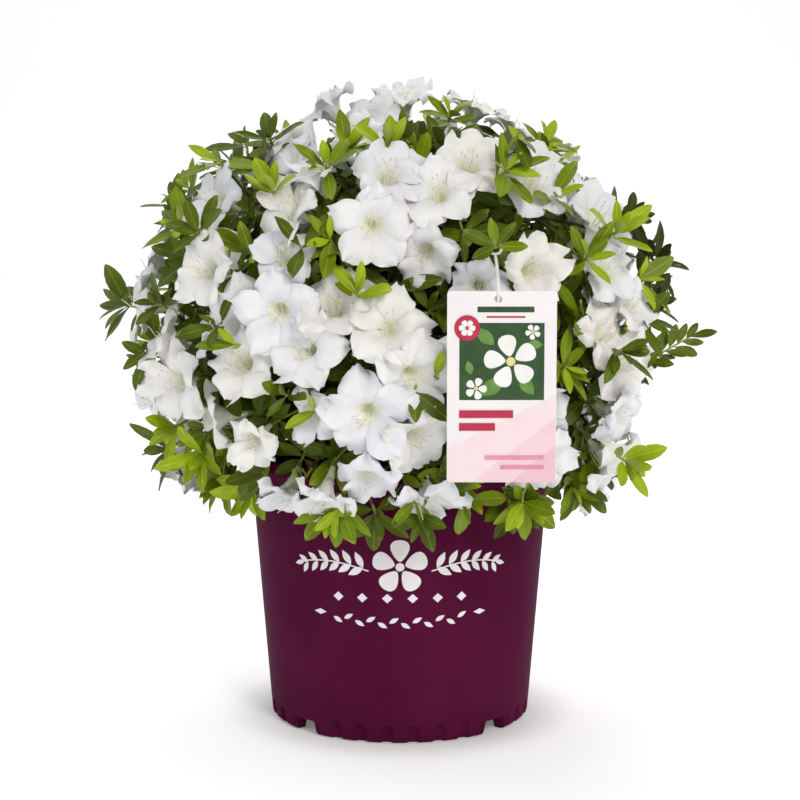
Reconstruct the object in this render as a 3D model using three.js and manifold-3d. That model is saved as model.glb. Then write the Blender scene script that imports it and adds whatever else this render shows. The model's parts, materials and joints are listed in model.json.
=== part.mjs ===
// A white evergreen azalea in its nursery pot, with a hanging plant label.
// Millimetres, +Z up. The origin is the centre of the pot's underside, and the label faces -Y.
import * as THREE from "three";
import { mergeVertices } from "three/addons/utils/BufferGeometryUtils.js";
import Module from "manifold-3d";

const wasm = await Module();
wasm.setup();

// Pot: an injection-moulded tapered tub on a fluted foot ring
const POT_HEIGHT = 245;
const POT_TOP_RADIUS = 139;
const POT_FOOT_RADIUS = 121;
const POT_WALL = 2.6;
const RIM_HEIGHT = 13;
const RIM_STANDOUT = 3.5;
const FOOT_HEIGHT = 12;
const FOOT_RING_WIDTH = 12;
const CENTRE_PAD_RADIUS = 62;
const POT_SIDES = 44;
const FLUTE_PITCH = Math.PI / 16;
const FLUTE_RADIUS = 4.6;
const FLUTE_HEIGHT = 13;
const FLUTE_DEPTH = 2.2;
const NOTCH_HEIGHT = 11.5;
const NOTCH_WIDTH = 30;
const NOTCH_COUNT = 4;

// Potting mix that fills the pot
const MIX_BELOW_RIM = 24;
const MIX_MOUND = 5;

// Space that touching pieces keep between them
const CLEAR = 0.3;

// Woody parts
const STEM_FOOT_RADIUS = 21;
const STEM_RADIUS = 11;
const STEM_HEIGHT = 40;
const STEM_LEAN = 5;
const HEAD_RADIUS = 13;
const LIMB_COUNT = 5;
const LIMB_RADIUS = 5.6;
const LIMB_END_RADIUS = 4.6;
const LIMB_REACH = 54;
const LIMB_RISE = 58;
const KNOB_RADIUS = 8;
const BOUGH_RADIUS = 3.4;
const BOUGH_END_RADIUS = 2.8;

// The crown's outline is a rounded, slightly boxy dome that hangs a little over the rim
const CROWN_CENTRE = new THREE.Vector3(0, 0, 372);
const CROWN_RADIUS = 226;
const CROWN_DEPTH = 214;
const CROWN_RISE = 179;
const CROWN_DROP = 188;
const UPPER_POWER = 2.3;
const LOWER_POWER = 2.8;
const ENTRY_SHARE = 0.42;
const HOLLOW_SHARE = 0.44;
const SITE_SHARE = 0.66;
const CORE_RADIUS = 130;
const CORE_INNER_SHARE = 0.51;
const CORE_OUTER_SHARE = 0.82;
const CORE_ROOM = 0.95;

// Rings of foliage masses round the crown: how many, the elevation of their middles and of the points
// where their boughs enter, and the bearing of the first, in degrees
const MASS_RINGS = [
  { name: "top", count: 1, elevation: 90, entry: 90, bearing: 0 },
  { name: "upper", count: 4, elevation: 34, entry: 40, bearing: -60 },
  { name: "lower", count: 5, elevation: -17, entry: -26, bearing: -97 },
];
const MASS_MARGIN = 0.4;

// Shoots, leaves and blooms. A shoot ends in a hub with five places round it for leaves.
const SPIRAL_TIPS = 190;
const SKIRT_TIPS = 15;
const SKIRT_RADIUS = 184;
const SKIRT_HEIGHT = 222;
const BLOOM_SHARE = 0.44;
const LEAF_TIP_ROOM = 21;
const BLOOM_TIP_ROOM = 30;
const TRUSS_SPREADS = [0, 27, 33];
const BLOOM_DEPTH = 22;
const LEAF_DEPTH = 9;
const TWIG_RADIUS = 2.2;
const HUB_RADIUS = 3.4;
const HUB_DEPTH = 3;
const PLACES = 5;
const LEAF_LENGTH = 46;
const LEAF_WIDTH = 20;
const LEAF_THICKNESS = 1.8;
const LEAF_OPENING = 0.95;
const BLOOM_LEAF_OPENING = 1.45;
const BLOOM_PLACES = [0, 2, 3];
const SHOOT_LEAVES = 2;
const LEAF_TRIALS = [
  [0, 1],
  [0.35, 1],
  [0, 0.78],
  [0.35, 0.78],
  [0.15, 0.56],
];
const BLOOM_RADIUS = 34;
const BLOOM_LENGTH = 36;
const BLOOM_NECK_RADIUS = 6;
const BLOOM_WALL = 7;
const BLOOM_TUCKS = [0, 0.25, 0.5, 0.75];
const FIT_STEPS = [0.15, 0.3, 0.45, 0.6, 0.75, 0.9, 1];

// Plant label: a card with a strap that hangs on one shoot by a ring
const LABEL_WIDTH = 85;
const LABEL_HEIGHT = 149;
const LABEL_THICKNESS = 1.2;
const LABEL_CENTRE = new THREE.Vector3(79, -250, 325);
const STRAP_WIDTH = 3;
const STRAP_FOOT = new THREE.Vector3(76, -250, 392);
const RING_CENTRE = new THREE.Vector3(75, -226, 433);
const RING_RADIUS = 5;
const RING_WIRE = 1.3;
const LABEL_TWIG_RADIUS = 2.2;
const LABEL_TWIG_BEYOND = 9;
const RING_CATCH = RING_RADIUS - RING_WIRE - LABEL_TWIG_RADIUS - 2 * CLEAR;
const LABEL_ROOM = 4;

// Share of the way out at which the near clusters stand
const TRUSS_SHARE = 0.93;

// Blossom clusters that stand out on the near side: across, up and how many blooms, in millimetres
const NEAR_TRUSSES = [
  [-22, 560, 2],
  [-98, 520, 2],
  [-170, 478, 2],
  [-68, 452, 1],
  [2, 455, 3],
  [62, 510, 2],
  [128, 470, 2],
  [182, 462, 1],
  [-118, 400, 2],
  [28, 392, 1],
  [92, 412, 1],
  [-32, 340, 3],
  [-148, 330, 2],
  [-205, 380, 1],
  [176, 372, 1],
  [-108, 258, 2],
  [-8, 246, 2],
  [168, 300, 1],
  [140, 246, 2],
];

// Leafy shoots that reach past the dome and make its ragged outline: bearing, elevation, reach and lift
const LONG_SHOOTS = [
  { bearing: -2, elevation: -14, reach: 284, lift: 26 },
  { bearing: -6, elevation: 10, reach: 272, lift: 8 },
  { bearing: -10, elevation: -36, reach: 258, lift: -6 },
  { bearing: 3, elevation: 22, reach: 250, lift: 4 },
  { bearing: -4, elevation: 43, reach: 233, lift: 4 },
  { bearing: 2, elevation: 60, reach: 222, lift: 2 },
  { bearing: 180, elevation: 1, reach: 288, lift: 4 },
  { bearing: 178, elevation: -15, reach: 266, lift: 0 },
  { bearing: 186, elevation: -28, reach: 276, lift: -10 },
  { bearing: 184, elevation: -44, reach: 250, lift: 0 },
  { bearing: 176, elevation: 25, reach: 262, lift: 4 },
  { bearing: 183, elevation: 41, reach: 232, lift: 4 },
  { bearing: 178, elevation: 58, reach: 220, lift: 2 },
  { bearing: 90, elevation: 6, reach: 240, lift: 14 },
  { bearing: 55, elevation: -22, reach: 236, lift: 10 },
  { bearing: 128, elevation: 24, reach: 240, lift: 12 },
  { bearing: 100, elevation: 48, reach: 218, lift: 4 },
  { bearing: 215, elevation: 40, reach: 226, lift: 8 },
  { bearing: -35, elevation: 42, reach: 224, lift: 8 },
  { bearing: -106, elevation: -39, reach: 270, lift: -6 },
  { bearing: -86, elevation: -40, reach: 266, lift: 0 },
  { bearing: -55, elevation: -40, reach: 268, lift: -4 },
];

const radians = THREE.MathUtils.degToRad;
const UP = new THREE.Vector3(0, 0, 1);

// A repeatable chance from 0 to 1 for one numbered thing and one trait of it.
function chance(thing, trait) {
  const wave = Math.sin(thing * 12.9898 + trait * 78.233) * 43758.5453;
  return wave - Math.floor(wave);
}

function between(low, high, thing, trait) {
  return low + (high - low) * chance(thing, trait);
}

function bearingVector(bearing, elevation) {
  const level = Math.cos(elevation);
  return new THREE.Vector3(
    Math.cos(bearing) * level,
    Math.sin(bearing) * level,
    Math.sin(elevation),
  );
}

function closedGeometry(positions, faces) {
  const geometry = new THREE.BufferGeometry();
  geometry.setAttribute("position", new THREE.Float32BufferAttribute(positions, 3));
  geometry.setIndex(faces);
  return geometry;
}

function solidOf(geometry) {
  const bare = geometry.clone();
  bare.deleteAttribute("normal");
  bare.deleteAttribute("uv");
  const merged = mergeVertices(bare, 1e-4);
  return new wasm.Manifold(
    new wasm.Mesh({
      numProp: 3,
      vertProperties: new Float32Array(merged.attributes.position.array),
      triVerts: new Uint32Array(merged.index.array),
    }),
  );
}

// The largest closed body of a solid, with any hollow inside it filled.
function mainBody(solid) {
  return solid.decompose().reduce((a, b) => (b.volume() > a.volume() ? b : a));
}

function geometryOf(solid) {
  const mesh = solid.getMesh();
  const positions = new Float32Array(mesh.numVert * 3);
  for (let i = 0; i < mesh.numVert; i++) {
    const start = i * mesh.numProp;
    positions.set(mesh.vertProperties.subarray(start, start + 3), i * 3);
  }
  return closedGeometry(positions, Array.from(mesh.triVerts));
}

// A limb with flat ends that tapers along a smooth line: radii are spread evenly from its foot to its tip.
function limbGeometry(points, radii, sides) {
  const steps = radii.length - 1;
  const curve = new THREE.CatmullRomCurve3(points);
  const frames = curve.computeFrenetFrames(steps);
  const positions = [];
  for (let i = 0; i <= steps; i++) {
    const centre = curve.getPointAt(i / steps);
    for (let k = 0; k < sides; k++) {
      const turn = (2 * Math.PI * k) / sides;
      const spoke = frames.normals[i]
        .clone()
        .multiplyScalar(Math.cos(turn))
        .addScaledVector(frames.binormals[i], Math.sin(turn));
      positions.push(...centre.clone().addScaledVector(spoke, radii[i]).toArray());
    }
  }
  const faces = [];
  for (let i = 0; i < steps; i++) {
    for (let k = 0; k < sides; k++) {
      const a = i * sides + k;
      const b = i * sides + ((k + 1) % sides);
      faces.push(a, b, a + sides, b, b + sides, a + sides);
    }
  }
  for (let k = 1; k < sides - 1; k++) {
    faces.push(0, k + 1, k);
    faces.push(steps * sides, steps * sides + k, steps * sides + k + 1);
  }
  return closedGeometry(positions, faces);
}

// How far out the crown's outline lies in a direction from the crown's centre.
function outline(direction) {
  const level = Math.hypot(direction.x / CROWN_RADIUS, direction.y / CROWN_DEPTH);
  const height = Math.abs(direction.z) / (direction.z > 0 ? CROWN_RISE : CROWN_DROP);
  const power = direction.z > 0 ? UPPER_POWER : LOWER_POWER;
  return (level ** power + height ** power) ** (-1 / power);
}

// How far out a point lies, as a share of the way from the crown's centre to its outline.
function outlineShare(point) {
  const offset = point.clone().sub(CROWN_CENTRE);
  return offset.length() / outline(offset.clone().normalize());
}

function atShare(direction, share) {
  return CROWN_CENTRE.clone().addScaledVector(direction, outline(direction) * share);
}

function makePotProfile() {
  const wallTop = POT_HEIGHT - RIM_HEIGHT;
  const rimRadius = POT_TOP_RADIUS + RIM_STANDOUT;
  const innerTop = POT_TOP_RADIUS - POT_WALL;
  const innerFoot = POT_FOOT_RADIUS - POT_WALL;
  const floor = FOOT_HEIGHT + POT_WALL;
  return [
    [0, 0],
    [CENTRE_PAD_RADIUS, 0],
    [CENTRE_PAD_RADIUS + 2, FOOT_HEIGHT],
    [POT_FOOT_RADIUS - FOOT_RING_WIDTH - 2, FOOT_HEIGHT],
    [POT_FOOT_RADIUS - FOOT_RING_WIDTH, 0],
    [POT_FOOT_RADIUS - 4, 0],
    [POT_FOOT_RADIUS - 0.5, 3.5],
    [POT_TOP_RADIUS, wallTop],
    [rimRadius, wallTop + 2],
    [rimRadius, POT_HEIGHT - 2],
    [rimRadius - 2, POT_HEIGHT],
    [innerTop, POT_HEIGHT],
    [innerFoot, floor],
    [0, floor],
  ].map(([radius, height]) => new THREE.Vector2(radius, height));
}

// A lathe turned to stand on +Z instead of +Y.
function standingLathe(profile) {
  return new THREE.LatheGeometry(profile, POT_SIDES).rotateX(Math.PI / 2);
}

function makePot() {
  let pot = solidOf(standingLathe(makePotProfile()));
  const flutes = [];
  for (let i = 0; i < 32; i++) {
    const bearing = (i + 0.5) * FLUTE_PITCH;
    const fromNotch = Math.abs(((bearing + Math.PI / 4) % (Math.PI / 2)) - Math.PI / 2);
    const inNotch = Math.min(fromNotch, Math.PI / 2 - fromNotch) < FLUTE_PITCH;
    if (inNotch) continue;
    const shaft = new THREE.CylinderGeometry(FLUTE_RADIUS, FLUTE_RADIUS, FLUTE_HEIGHT, 8);
    shaft.rotateX(Math.PI / 2);
    const reach = POT_FOOT_RADIUS + FLUTE_RADIUS - FLUTE_DEPTH;
    shaft.translate(Math.cos(bearing) * reach, Math.sin(bearing) * reach, FLUTE_HEIGHT / 2 - 0.01);
    flutes.push(solidOf(shaft));
  }
  for (let i = 0; i < NOTCH_COUNT; i++) {
    const bearing = Math.PI / 4 + (i * 2 * Math.PI) / NOTCH_COUNT;
    const notch = new THREE.BoxGeometry(FOOT_RING_WIDTH + 16, NOTCH_WIDTH, NOTCH_HEIGHT + 1);
    notch.translate(POT_FOOT_RADIUS - FOOT_RING_WIDTH / 2 + 2, 0, NOTCH_HEIGHT / 2 - 0.5);
    notch.rotateZ(bearing);
    flutes.push(solidOf(notch));
  }
  for (const cut of flutes) pot = pot.subtract(cut);
  return geometryOf(mainBody(pot));
}

function makePottingMix() {
  const floor = FOOT_HEIGHT + POT_WALL + CLEAR;
  const top = POT_HEIGHT - MIX_BELOW_RIM;
  const taper = (POT_TOP_RADIUS - POT_FOOT_RADIUS) / (POT_HEIGHT - floor);
  const edge = POT_FOOT_RADIUS - POT_WALL + taper * (top - floor) - 2 * CLEAR;
  const profile = [
    [0, floor],
    [POT_FOOT_RADIUS - POT_WALL - 2 * CLEAR, floor],
    [edge, top],
    [STEM_FOOT_RADIUS * 1.5, top + MIX_MOUND],
    [0, top + MIX_MOUND],
  ].map(([radius, height]) => new THREE.Vector2(radius, height));
  return standingLathe(profile);
}

const STEM_GROUND = new THREE.Vector3(0, 0, POT_HEIGHT - MIX_BELOW_RIM + MIX_MOUND + CLEAR);
const STEM_HEAD = STEM_GROUND.clone().add(new THREE.Vector3(STEM_LEAN, STEM_LEAN / 2, STEM_HEIGHT));

// The short main stem: a flared foot on the mix, a leaning trunk and a rounded head that the limbs leave.
function makeMainStem() {
  const above = STEM_GROUND.clone().addScaledVector(UP, 8);
  const radii = [STEM_FOOT_RADIUS, STEM_RADIUS * 1.35, STEM_RADIUS * 1.08, STEM_RADIUS, STEM_RADIUS * 0.95];
  const trunk = solidOf(limbGeometry([STEM_GROUND, above, STEM_HEAD], radii, 12));
  return geometryOf(trunk.add(knobSolid(STEM_HEAD, HEAD_RADIUS)));
}

// Each mass has a name, a site that its space surrounds, and the point where its bough enters it.
function layOutMasses() {
  const masses = [];
  for (const ring of MASS_RINGS) {
    for (let i = 0; i < ring.count; i++) {
      const bearing = radians(ring.bearing) + (2 * Math.PI * i) / ring.count;
      masses.push({
        name: ring.count > 1 ? `${ring.name}_${i + 1}` : ring.name,
        ring: ring.name,
        bearing,
        site: atShare(bearingVector(bearing, radians(ring.elevation)), SITE_SHARE),
        entry: atShare(bearingVector(bearing, radians(ring.entry)), ENTRY_SHARE),
        tips: [],
      });
    }
  }
  return masses;
}

// How deep a point lies inside a mass's own space: the distance to the nearest plane it shares with a neighbour.
function depthInSpace(point, mass, masses) {
  const own = point.distanceToSquared(mass.site);
  let depth = Infinity;
  for (const other of masses) {
    if (other === mass) continue;
    const gap = point.distanceToSquared(other.site) - own;
    depth = Math.min(depth, gap / (2 * mass.site.distanceTo(other.site)));
  }
  return depth;
}

function nearestMass(point, masses) {
  return masses.reduce((a, b) =>
    point.distanceToSquared(b.site) < point.distanceToSquared(a.site) ? b : a,
  );
}

// A point on the near side of the dome, from its place across and up: it steps out until it meets the outline.
function nearSidePoint(across, up, share) {
  const point = new THREE.Vector3(across, 0, up);
  if (outlineShare(point) > share) return atShare(point.sub(CROWN_CENTRE).normalize(), share);
  while (outlineShare(point) < share) point.y -= 1;
  return point;
}

// Whether a tip would stand too close to one that is already there.
function crowded(end, bloom, tips) {
  const room = (blooming) => (blooming ? BLOOM_TIP_ROOM : LEAF_TIP_ROOM);
  return tips.some((tip) => tip.end.distanceTo(end) < room(tip.bloom) + room(bloom));
}

// All shoot tips, in the order that decides which of two close ones stays:
// the near trusses, the long shoots, a skirt that hangs over the rim, then a spiral over the whole crown.
function layOutTips() {
  const tips = [];
  NEAR_TRUSSES.forEach(([across, up, blooms], i) => {
    const start = chance(i, 7) * Math.PI;
    for (let k = 0; k < blooms; k++) {
      const turn = start + (2 * Math.PI * k) / blooms;
      const spread = TRUSS_SPREADS[blooms - 1];
      const x = across + Math.cos(turn) * spread;
      const z = up + Math.sin(turn) * spread;
      tips.push({ end: nearSidePoint(x, z, TRUSS_SHARE), bloom: true, key: 500 + 3 * i + k, lift: 0, long: false });
    }
  });
  LONG_SHOOTS.forEach((shoot, i) => {
    const direction = bearingVector(radians(shoot.bearing), radians(shoot.elevation));
    const end = CROWN_CENTRE.clone().addScaledVector(direction, shoot.reach - LEAF_LENGTH * 0.7);
    tips.push({ end, bloom: false, key: 700 + i, lift: shoot.lift, long: true });
  });
  for (let i = 0; i < SKIRT_TIPS; i++) {
    const bearing = (2 * Math.PI * (i + between(-0.2, 0.2, 900 + i, 1))) / SKIRT_TIPS;
    const end = bearingVector(bearing, 0).multiplyScalar(SKIRT_RADIUS);
    end.z = SKIRT_HEIGHT + 16 * (i % 2);
    const bloom = chance(i, 6) < BLOOM_SHARE;
    if (crowded(end, bloom, tips)) continue;
    tips.push({ end, bloom, key: 900 + i, lift: 0, long: false });
  }
  const golden = Math.PI * (3 - Math.sqrt(5));
  for (let i = 0; i < SPIRAL_TIPS; i++) {
    const height = 1 - (2 * (i + 0.5)) / SPIRAL_TIPS;
    const elevation = Math.asin(height) + between(-0.07, 0.07, i, 1);
    const bearing = golden * i + between(-0.1, 0.1, i, 2);
    const end = atShare(bearingVector(bearing, elevation), between(0.88, 0.99, i, 3));
    const bloom = chance(i, 4) < BLOOM_SHARE;
    if (crowded(end, bloom, tips)) continue;
    tips.push({ end, bloom, key: i, lift: 0, long: false });
  }
  return tips;
}

// The crown's inside is round the limbs and over the pot, and no shoot ends there.
function isOutside(point, spare) {
  const radius = Math.hypot(point.x, point.y);
  const overPot = point.z < POT_HEIGHT + spare && radius < POT_TOP_RADIUS + RIM_STANDOUT + spare;
  return !overPot && outlineShare(point) > HOLLOW_SHARE;
}

// The four corners of a leaf, apart from its foot. Its sides lift a little and its tip droops.
function leafCorners(foot, along, face, length) {
  const side = face.clone().cross(along).normalize();
  const upper = along.clone().cross(side).normalize();
  const half = (LEAF_WIDTH / LEAF_LENGTH) * length * 0.5;
  const place = (out, across, over) =>
    foot
      .clone()
      .addScaledVector(along, out * length)
      .addScaledVector(side, across)
      .addScaledVector(upper, over);
  return {
    left: place(0.56, -half, LEAF_THICKNESS),
    right: place(0.56, half, LEAF_THICKNESS),
    tip: place(1, 0, -length * 0.08),
    keel: place(0.5, 0, -LEAF_THICKNESS),
  };
}

// Any direction square to the one given.
function squareTo(direction) {
  const reference = Math.abs(direction.z) > 0.9 ? new THREE.Vector3(1, 0, 0) : UP;
  return new THREE.Vector3().crossVectors(direction, reference).normalize();
}

// The direction across a shoot's aim, at a turn from its first place.
function spokeAt(aim, turn) {
  return squareTo(aim).applyAxisAngle(aim, turn);
}

function ringAt(centre, axis, aim, radius) {
  const first = squareTo(aim);
  first.addScaledVector(axis, -first.dot(axis)).normalize();
  return Array.from({ length: PLACES }, (_, k) =>
    centre.clone().addScaledVector(first.clone().applyAxisAngle(axis, (2 * Math.PI * k) / PLACES), radius),
  );
}

// The rim of a five-lobed bloom: for each lobe the notch before it and its two shoulders.
function bloomRim(foot, aim, radius) {
  const at = (turn, out, ahead) =>
    foot
      .clone()
      .addScaledVector(aim, BLOOM_LENGTH * ahead)
      .addScaledVector(spokeAt(aim, turn), out * radius);
  return Array.from({ length: PLACES }, (_, k) => {
    const lobe = (2 * Math.PI) / PLACES;
    return {
      notch: at(lobe * k, 0.68, 0.9),
      left: at(lobe * (k + 0.25), 1, 0.95),
      right: at(lobe * (k + 0.75), 1, 0.95),
    };
  });
}

// A shoot as one closed shape: a five-sided twig, a hub with leaves in some of its places, and perhaps a bloom.
function shootGeometry(from, tip, aim, leaves, rim) {
  const along = tip.clone().sub(from).normalize();
  const points = [
    ...ringAt(from, along, aim, TWIG_RADIUS),
    ...ringAt(tip.clone().addScaledVector(aim, -HUB_DEPTH), aim, aim, HUB_RADIUS),
    ...ringAt(tip, aim, aim, HUB_RADIUS * 0.9),
  ];
  const faces = [];
  for (let k = 1; k < PLACES - 1; k++) faces.push(0, k + 1, k);
  for (let k = 0; k < PLACES; k++) {
    const n = (k + 1) % PLACES;
    const [low, nextLow, up, nextUp] = [PLACES + k, PLACES + n, 2 * PLACES + k, 2 * PLACES + n];
    faces.push(k, n, low, n, nextLow, low);
    const leaf = leaves[k];
    if (!leaf) {
      faces.push(low, nextLow, up, nextLow, nextUp, up);
      continue;
    }
    const [left, tipCorner, right, keel] = [0, 1, 2, 3].map((i) => points.length + i);
    points.push(leaf.left, leaf.tip, leaf.right, leaf.keel);
    faces.push(up, left, right, left, tipCorner, right, up, right, nextUp);
    faces.push(low, nextLow, keel, low, keel, left, keel, tipCorner, left);
    faces.push(keel, right, tipCorner, keel, nextLow, right);
    faces.push(low, left, up, nextLow, nextUp, right);
  }
  const middle = points.length;
  const depth = rim ? BLOOM_LENGTH * 0.45 + BLOOM_WALL : HUB_RADIUS * 0.5;
  points.push(tip.clone().addScaledVector(aim, depth));
  if (rim) points.push(...ringAt(tip.clone().addScaledVector(aim, BLOOM_LENGTH * 0.45), aim, aim, BLOOM_NECK_RADIUS));
  const rimStart = points.length;
  if (rim) points.push(...rim.flatMap((lobe) => [lobe.notch, lobe.left, lobe.right]));
  for (let k = 0; k < PLACES; k++) {
    const n = (k + 1) % PLACES;
    const [up, nextUp] = [2 * PLACES + k, 2 * PLACES + n];
    if (!rim) {
      faces.push(middle, up, nextUp);
      continue;
    }
    const [neck, nextNeck] = [middle + 1 + k, middle + 1 + n];
    const [notch, left, right] = [0, 1, 2].map((i) => rimStart + 3 * k + i);
    const nextNotch = rimStart + 3 * n;
    faces.push(up, nextUp, neck, nextUp, nextNeck, neck);
    faces.push(neck, nextNeck, right, neck, right, left, neck, left, notch, nextNeck, nextNotch, right);
    faces.push(middle, notch, left, middle, left, right, middle, right, nextNotch);
  }
  return closedGeometry(points.flatMap((p) => p.toArray()), faces);
}

// A piece fits where it stays in its mass's own space, out of the crown's inside, and off the label.
// It is tried at its corners and along the lines from its foot to them.
function fits(foot, corners, mass, masses) {
  if (!corners.every((p) => depthInSpace(p, mass, masses) > MASS_MARGIN)) return false;
  return corners.every((corner) =>
    FIT_STEPS.every((share) => {
      const p = foot.clone().lerp(corner, share);
      return isOutside(p, 3) && !nearLabel(p);
    }),
  );
}

// The card and its strap keep some room free round them.
function nearLabel(point) {
  const beside = Math.abs(point.x - LABEL_CENTRE.x) < LABEL_WIDTH / 2 + LABEL_ROOM;
  const level = Math.abs(point.z - LABEL_CENTRE.z) < LABEL_HEIGHT / 2 + LABEL_ROOM;
  if (beside && level && point.y < LABEL_CENTRE.y + LABEL_ROOM + 3) return true;
  const strap = new THREE.Line3(STRAP_FOOT, RING_CENTRE);
  const nearest = strap.closestPointToPoint(point, true, new THREE.Vector3());
  return nearest.distanceTo(point) < LABEL_ROOM + RING_RADIUS;
}

function pointsOf(geometry) {
  const positions = geometry.attributes.position;
  const points = [];
  for (let i = 0; i < positions.count; i++) {
    points.push(new THREE.Vector3().fromBufferAttribute(positions, i));
  }
  return points;
}

// A lumpy core that fills the middle of a mass's space.
function makeCore(mass, masses) {
  const ball = new THREE.IcosahedronGeometry(1, 1);
  ball.deleteAttribute("normal");
  ball.deleteAttribute("uv");
  const core = mergeVertices(ball, 1e-4);
  const positions = core.attributes.position;
  for (let i = 0; i < positions.count; i++) {
    const direction = new THREE.Vector3().fromBufferAttribute(positions, i);
    let reach = CORE_RADIUS;
    const at = () => mass.site.clone().addScaledVector(direction, reach);
    const roomy = () =>
      depthInSpace(at(), mass, masses) > MASS_MARGIN &&
      isOutside(at(), 4) &&
      outlineShare(at()) > CORE_INNER_SHARE &&
      outlineShare(at()) < CORE_OUTER_SHARE;
    while (!roomy() && reach > 6) reach -= 1;
    positions.setXYZ(i, ...mass.site.clone().addScaledVector(direction, reach * CORE_ROOM).toArray());
  }
  return core;
}

// The leaves round a hub. A leaf with no room closes up or shortens, or is left off.
function growLeaves(tip, aim, key, places, opening, mass, masses) {
  return Array.from({ length: PLACES }, (_, k) => {
    if (!places.includes(k)) return null;
    const turn = (2 * Math.PI * (k + 0.5)) / PLACES + between(-0.16, 0.16, key, 20 + k);
    const spoke = spokeAt(aim, turn);
    const spread = opening + between(-0.2, 0.2, key, 30 + k);
    const length = LEAF_LENGTH * between(0.85, 1.12, key, 40 + k);
    const shape = ([tuck, share]) => {
      const open = spread * (1 - tuck);
      const along = aim.clone().multiplyScalar(Math.cos(open)).addScaledVector(spoke, Math.sin(open));
      return leafCorners(tip, along, aim, length * share);
    };
    const trial = LEAF_TRIALS.find((t) => fits(tip, Object.values(shape(t)), mass, masses));
    return trial ? shape(trial) : null;
  });
}

// Single leaves down a long shoot, each a flat diamond with a keel.
function growShootLeaves(from, to, aim, key, mass, masses) {
  const across = squareTo(aim);
  const leaves = [];
  for (let k = 0; k < SHOOT_LEAVES; k++) {
    const foot = from.clone().lerp(to, 0.3 + (0.6 * k) / SHOOT_LEAVES);
    const spoke = across.clone().applyAxisAngle(aim, k * 2.4 + chance(key, 13));
    const along = spoke.multiplyScalar(0.85).addScaledVector(aim, 0.5).normalize();
    const leaf = leafCorners(foot, along, aim, LEAF_LENGTH * 0.75);
    const corners = [foot, leaf.left, leaf.tip, leaf.right, leaf.keel];
    if (!fits(foot, corners.slice(1), mass, masses)) continue;
    const faces = [0, 1, 3, 1, 2, 3, 4, 1, 0, 4, 2, 1, 4, 3, 2, 4, 0, 3];
    leaves.push(closedGeometry(corners.flatMap((p) => p.toArray()), faces));
  }
  return leaves;
}

// One mass: its stem, its core and, for each tip, a twig with its leaves or blooms, all fused.
function makeMass(mass, masses) {
  const toSite = mass.site.clone().sub(mass.entry).normalize();
  const foot = mass.entry.clone().addScaledVector(toSite, CLEAR);
  const radii = [BOUGH_END_RADIUS, BOUGH_END_RADIUS, TWIG_RADIUS];
  const joints = [mass.site.clone()];
  let body = solidOf(limbGeometry([foot, mass.site], radii, 6)).add(solidOf(makeCore(mass, masses)));
  if (nearestMass(RING_CENTRE, masses) === mass) {
    for (const piece of growLabelTwig(mass)) body = body.add(solidOf(piece));
  }
  const ordered = [...mass.tips].sort(
    (a, b) => a.end.distanceTo(mass.site) - b.end.distanceTo(mass.site),
  );
  for (const tip of ordered) {
    for (const piece of growTip(tip, mass, masses, joints)) body = body.add(solidOf(piece));
  }
  return geometryOf(mainBody(body));
}

// The twig that runs through the label's ring, with leaves beyond it that keep the ring on.
function growLabelTwig(mass) {
  const along = (ahead) => RING_CENTRE.clone().add(new THREE.Vector3(0, -ahead, RING_CATCH));
  const aim = new THREE.Vector3(0, -1, 0);
  const end = along(LABEL_TWIG_BEYOND);
  const middle = mass.site.clone().lerp(along(-16), 0.5);
  const twig = limbGeometry([mass.site, middle, along(-16), along(0)], [TWIG_RADIUS, TWIG_RADIUS, LABEL_TWIG_RADIUS], 6);
  const leaves = Array.from({ length: PLACES }, (_, k) => {
    const spoke = spokeAt(aim, (2 * Math.PI * (k + 0.5)) / PLACES);
    const direction = spoke.clone().addScaledVector(aim, 0.45).normalize();
    return spoke.z > -0.5 ? leafCorners(end, direction, aim, LEAF_LENGTH * 0.8) : null;
  });
  return [twig, shootGeometry(along(-2), end, aim, leaves, null)];
}

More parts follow.
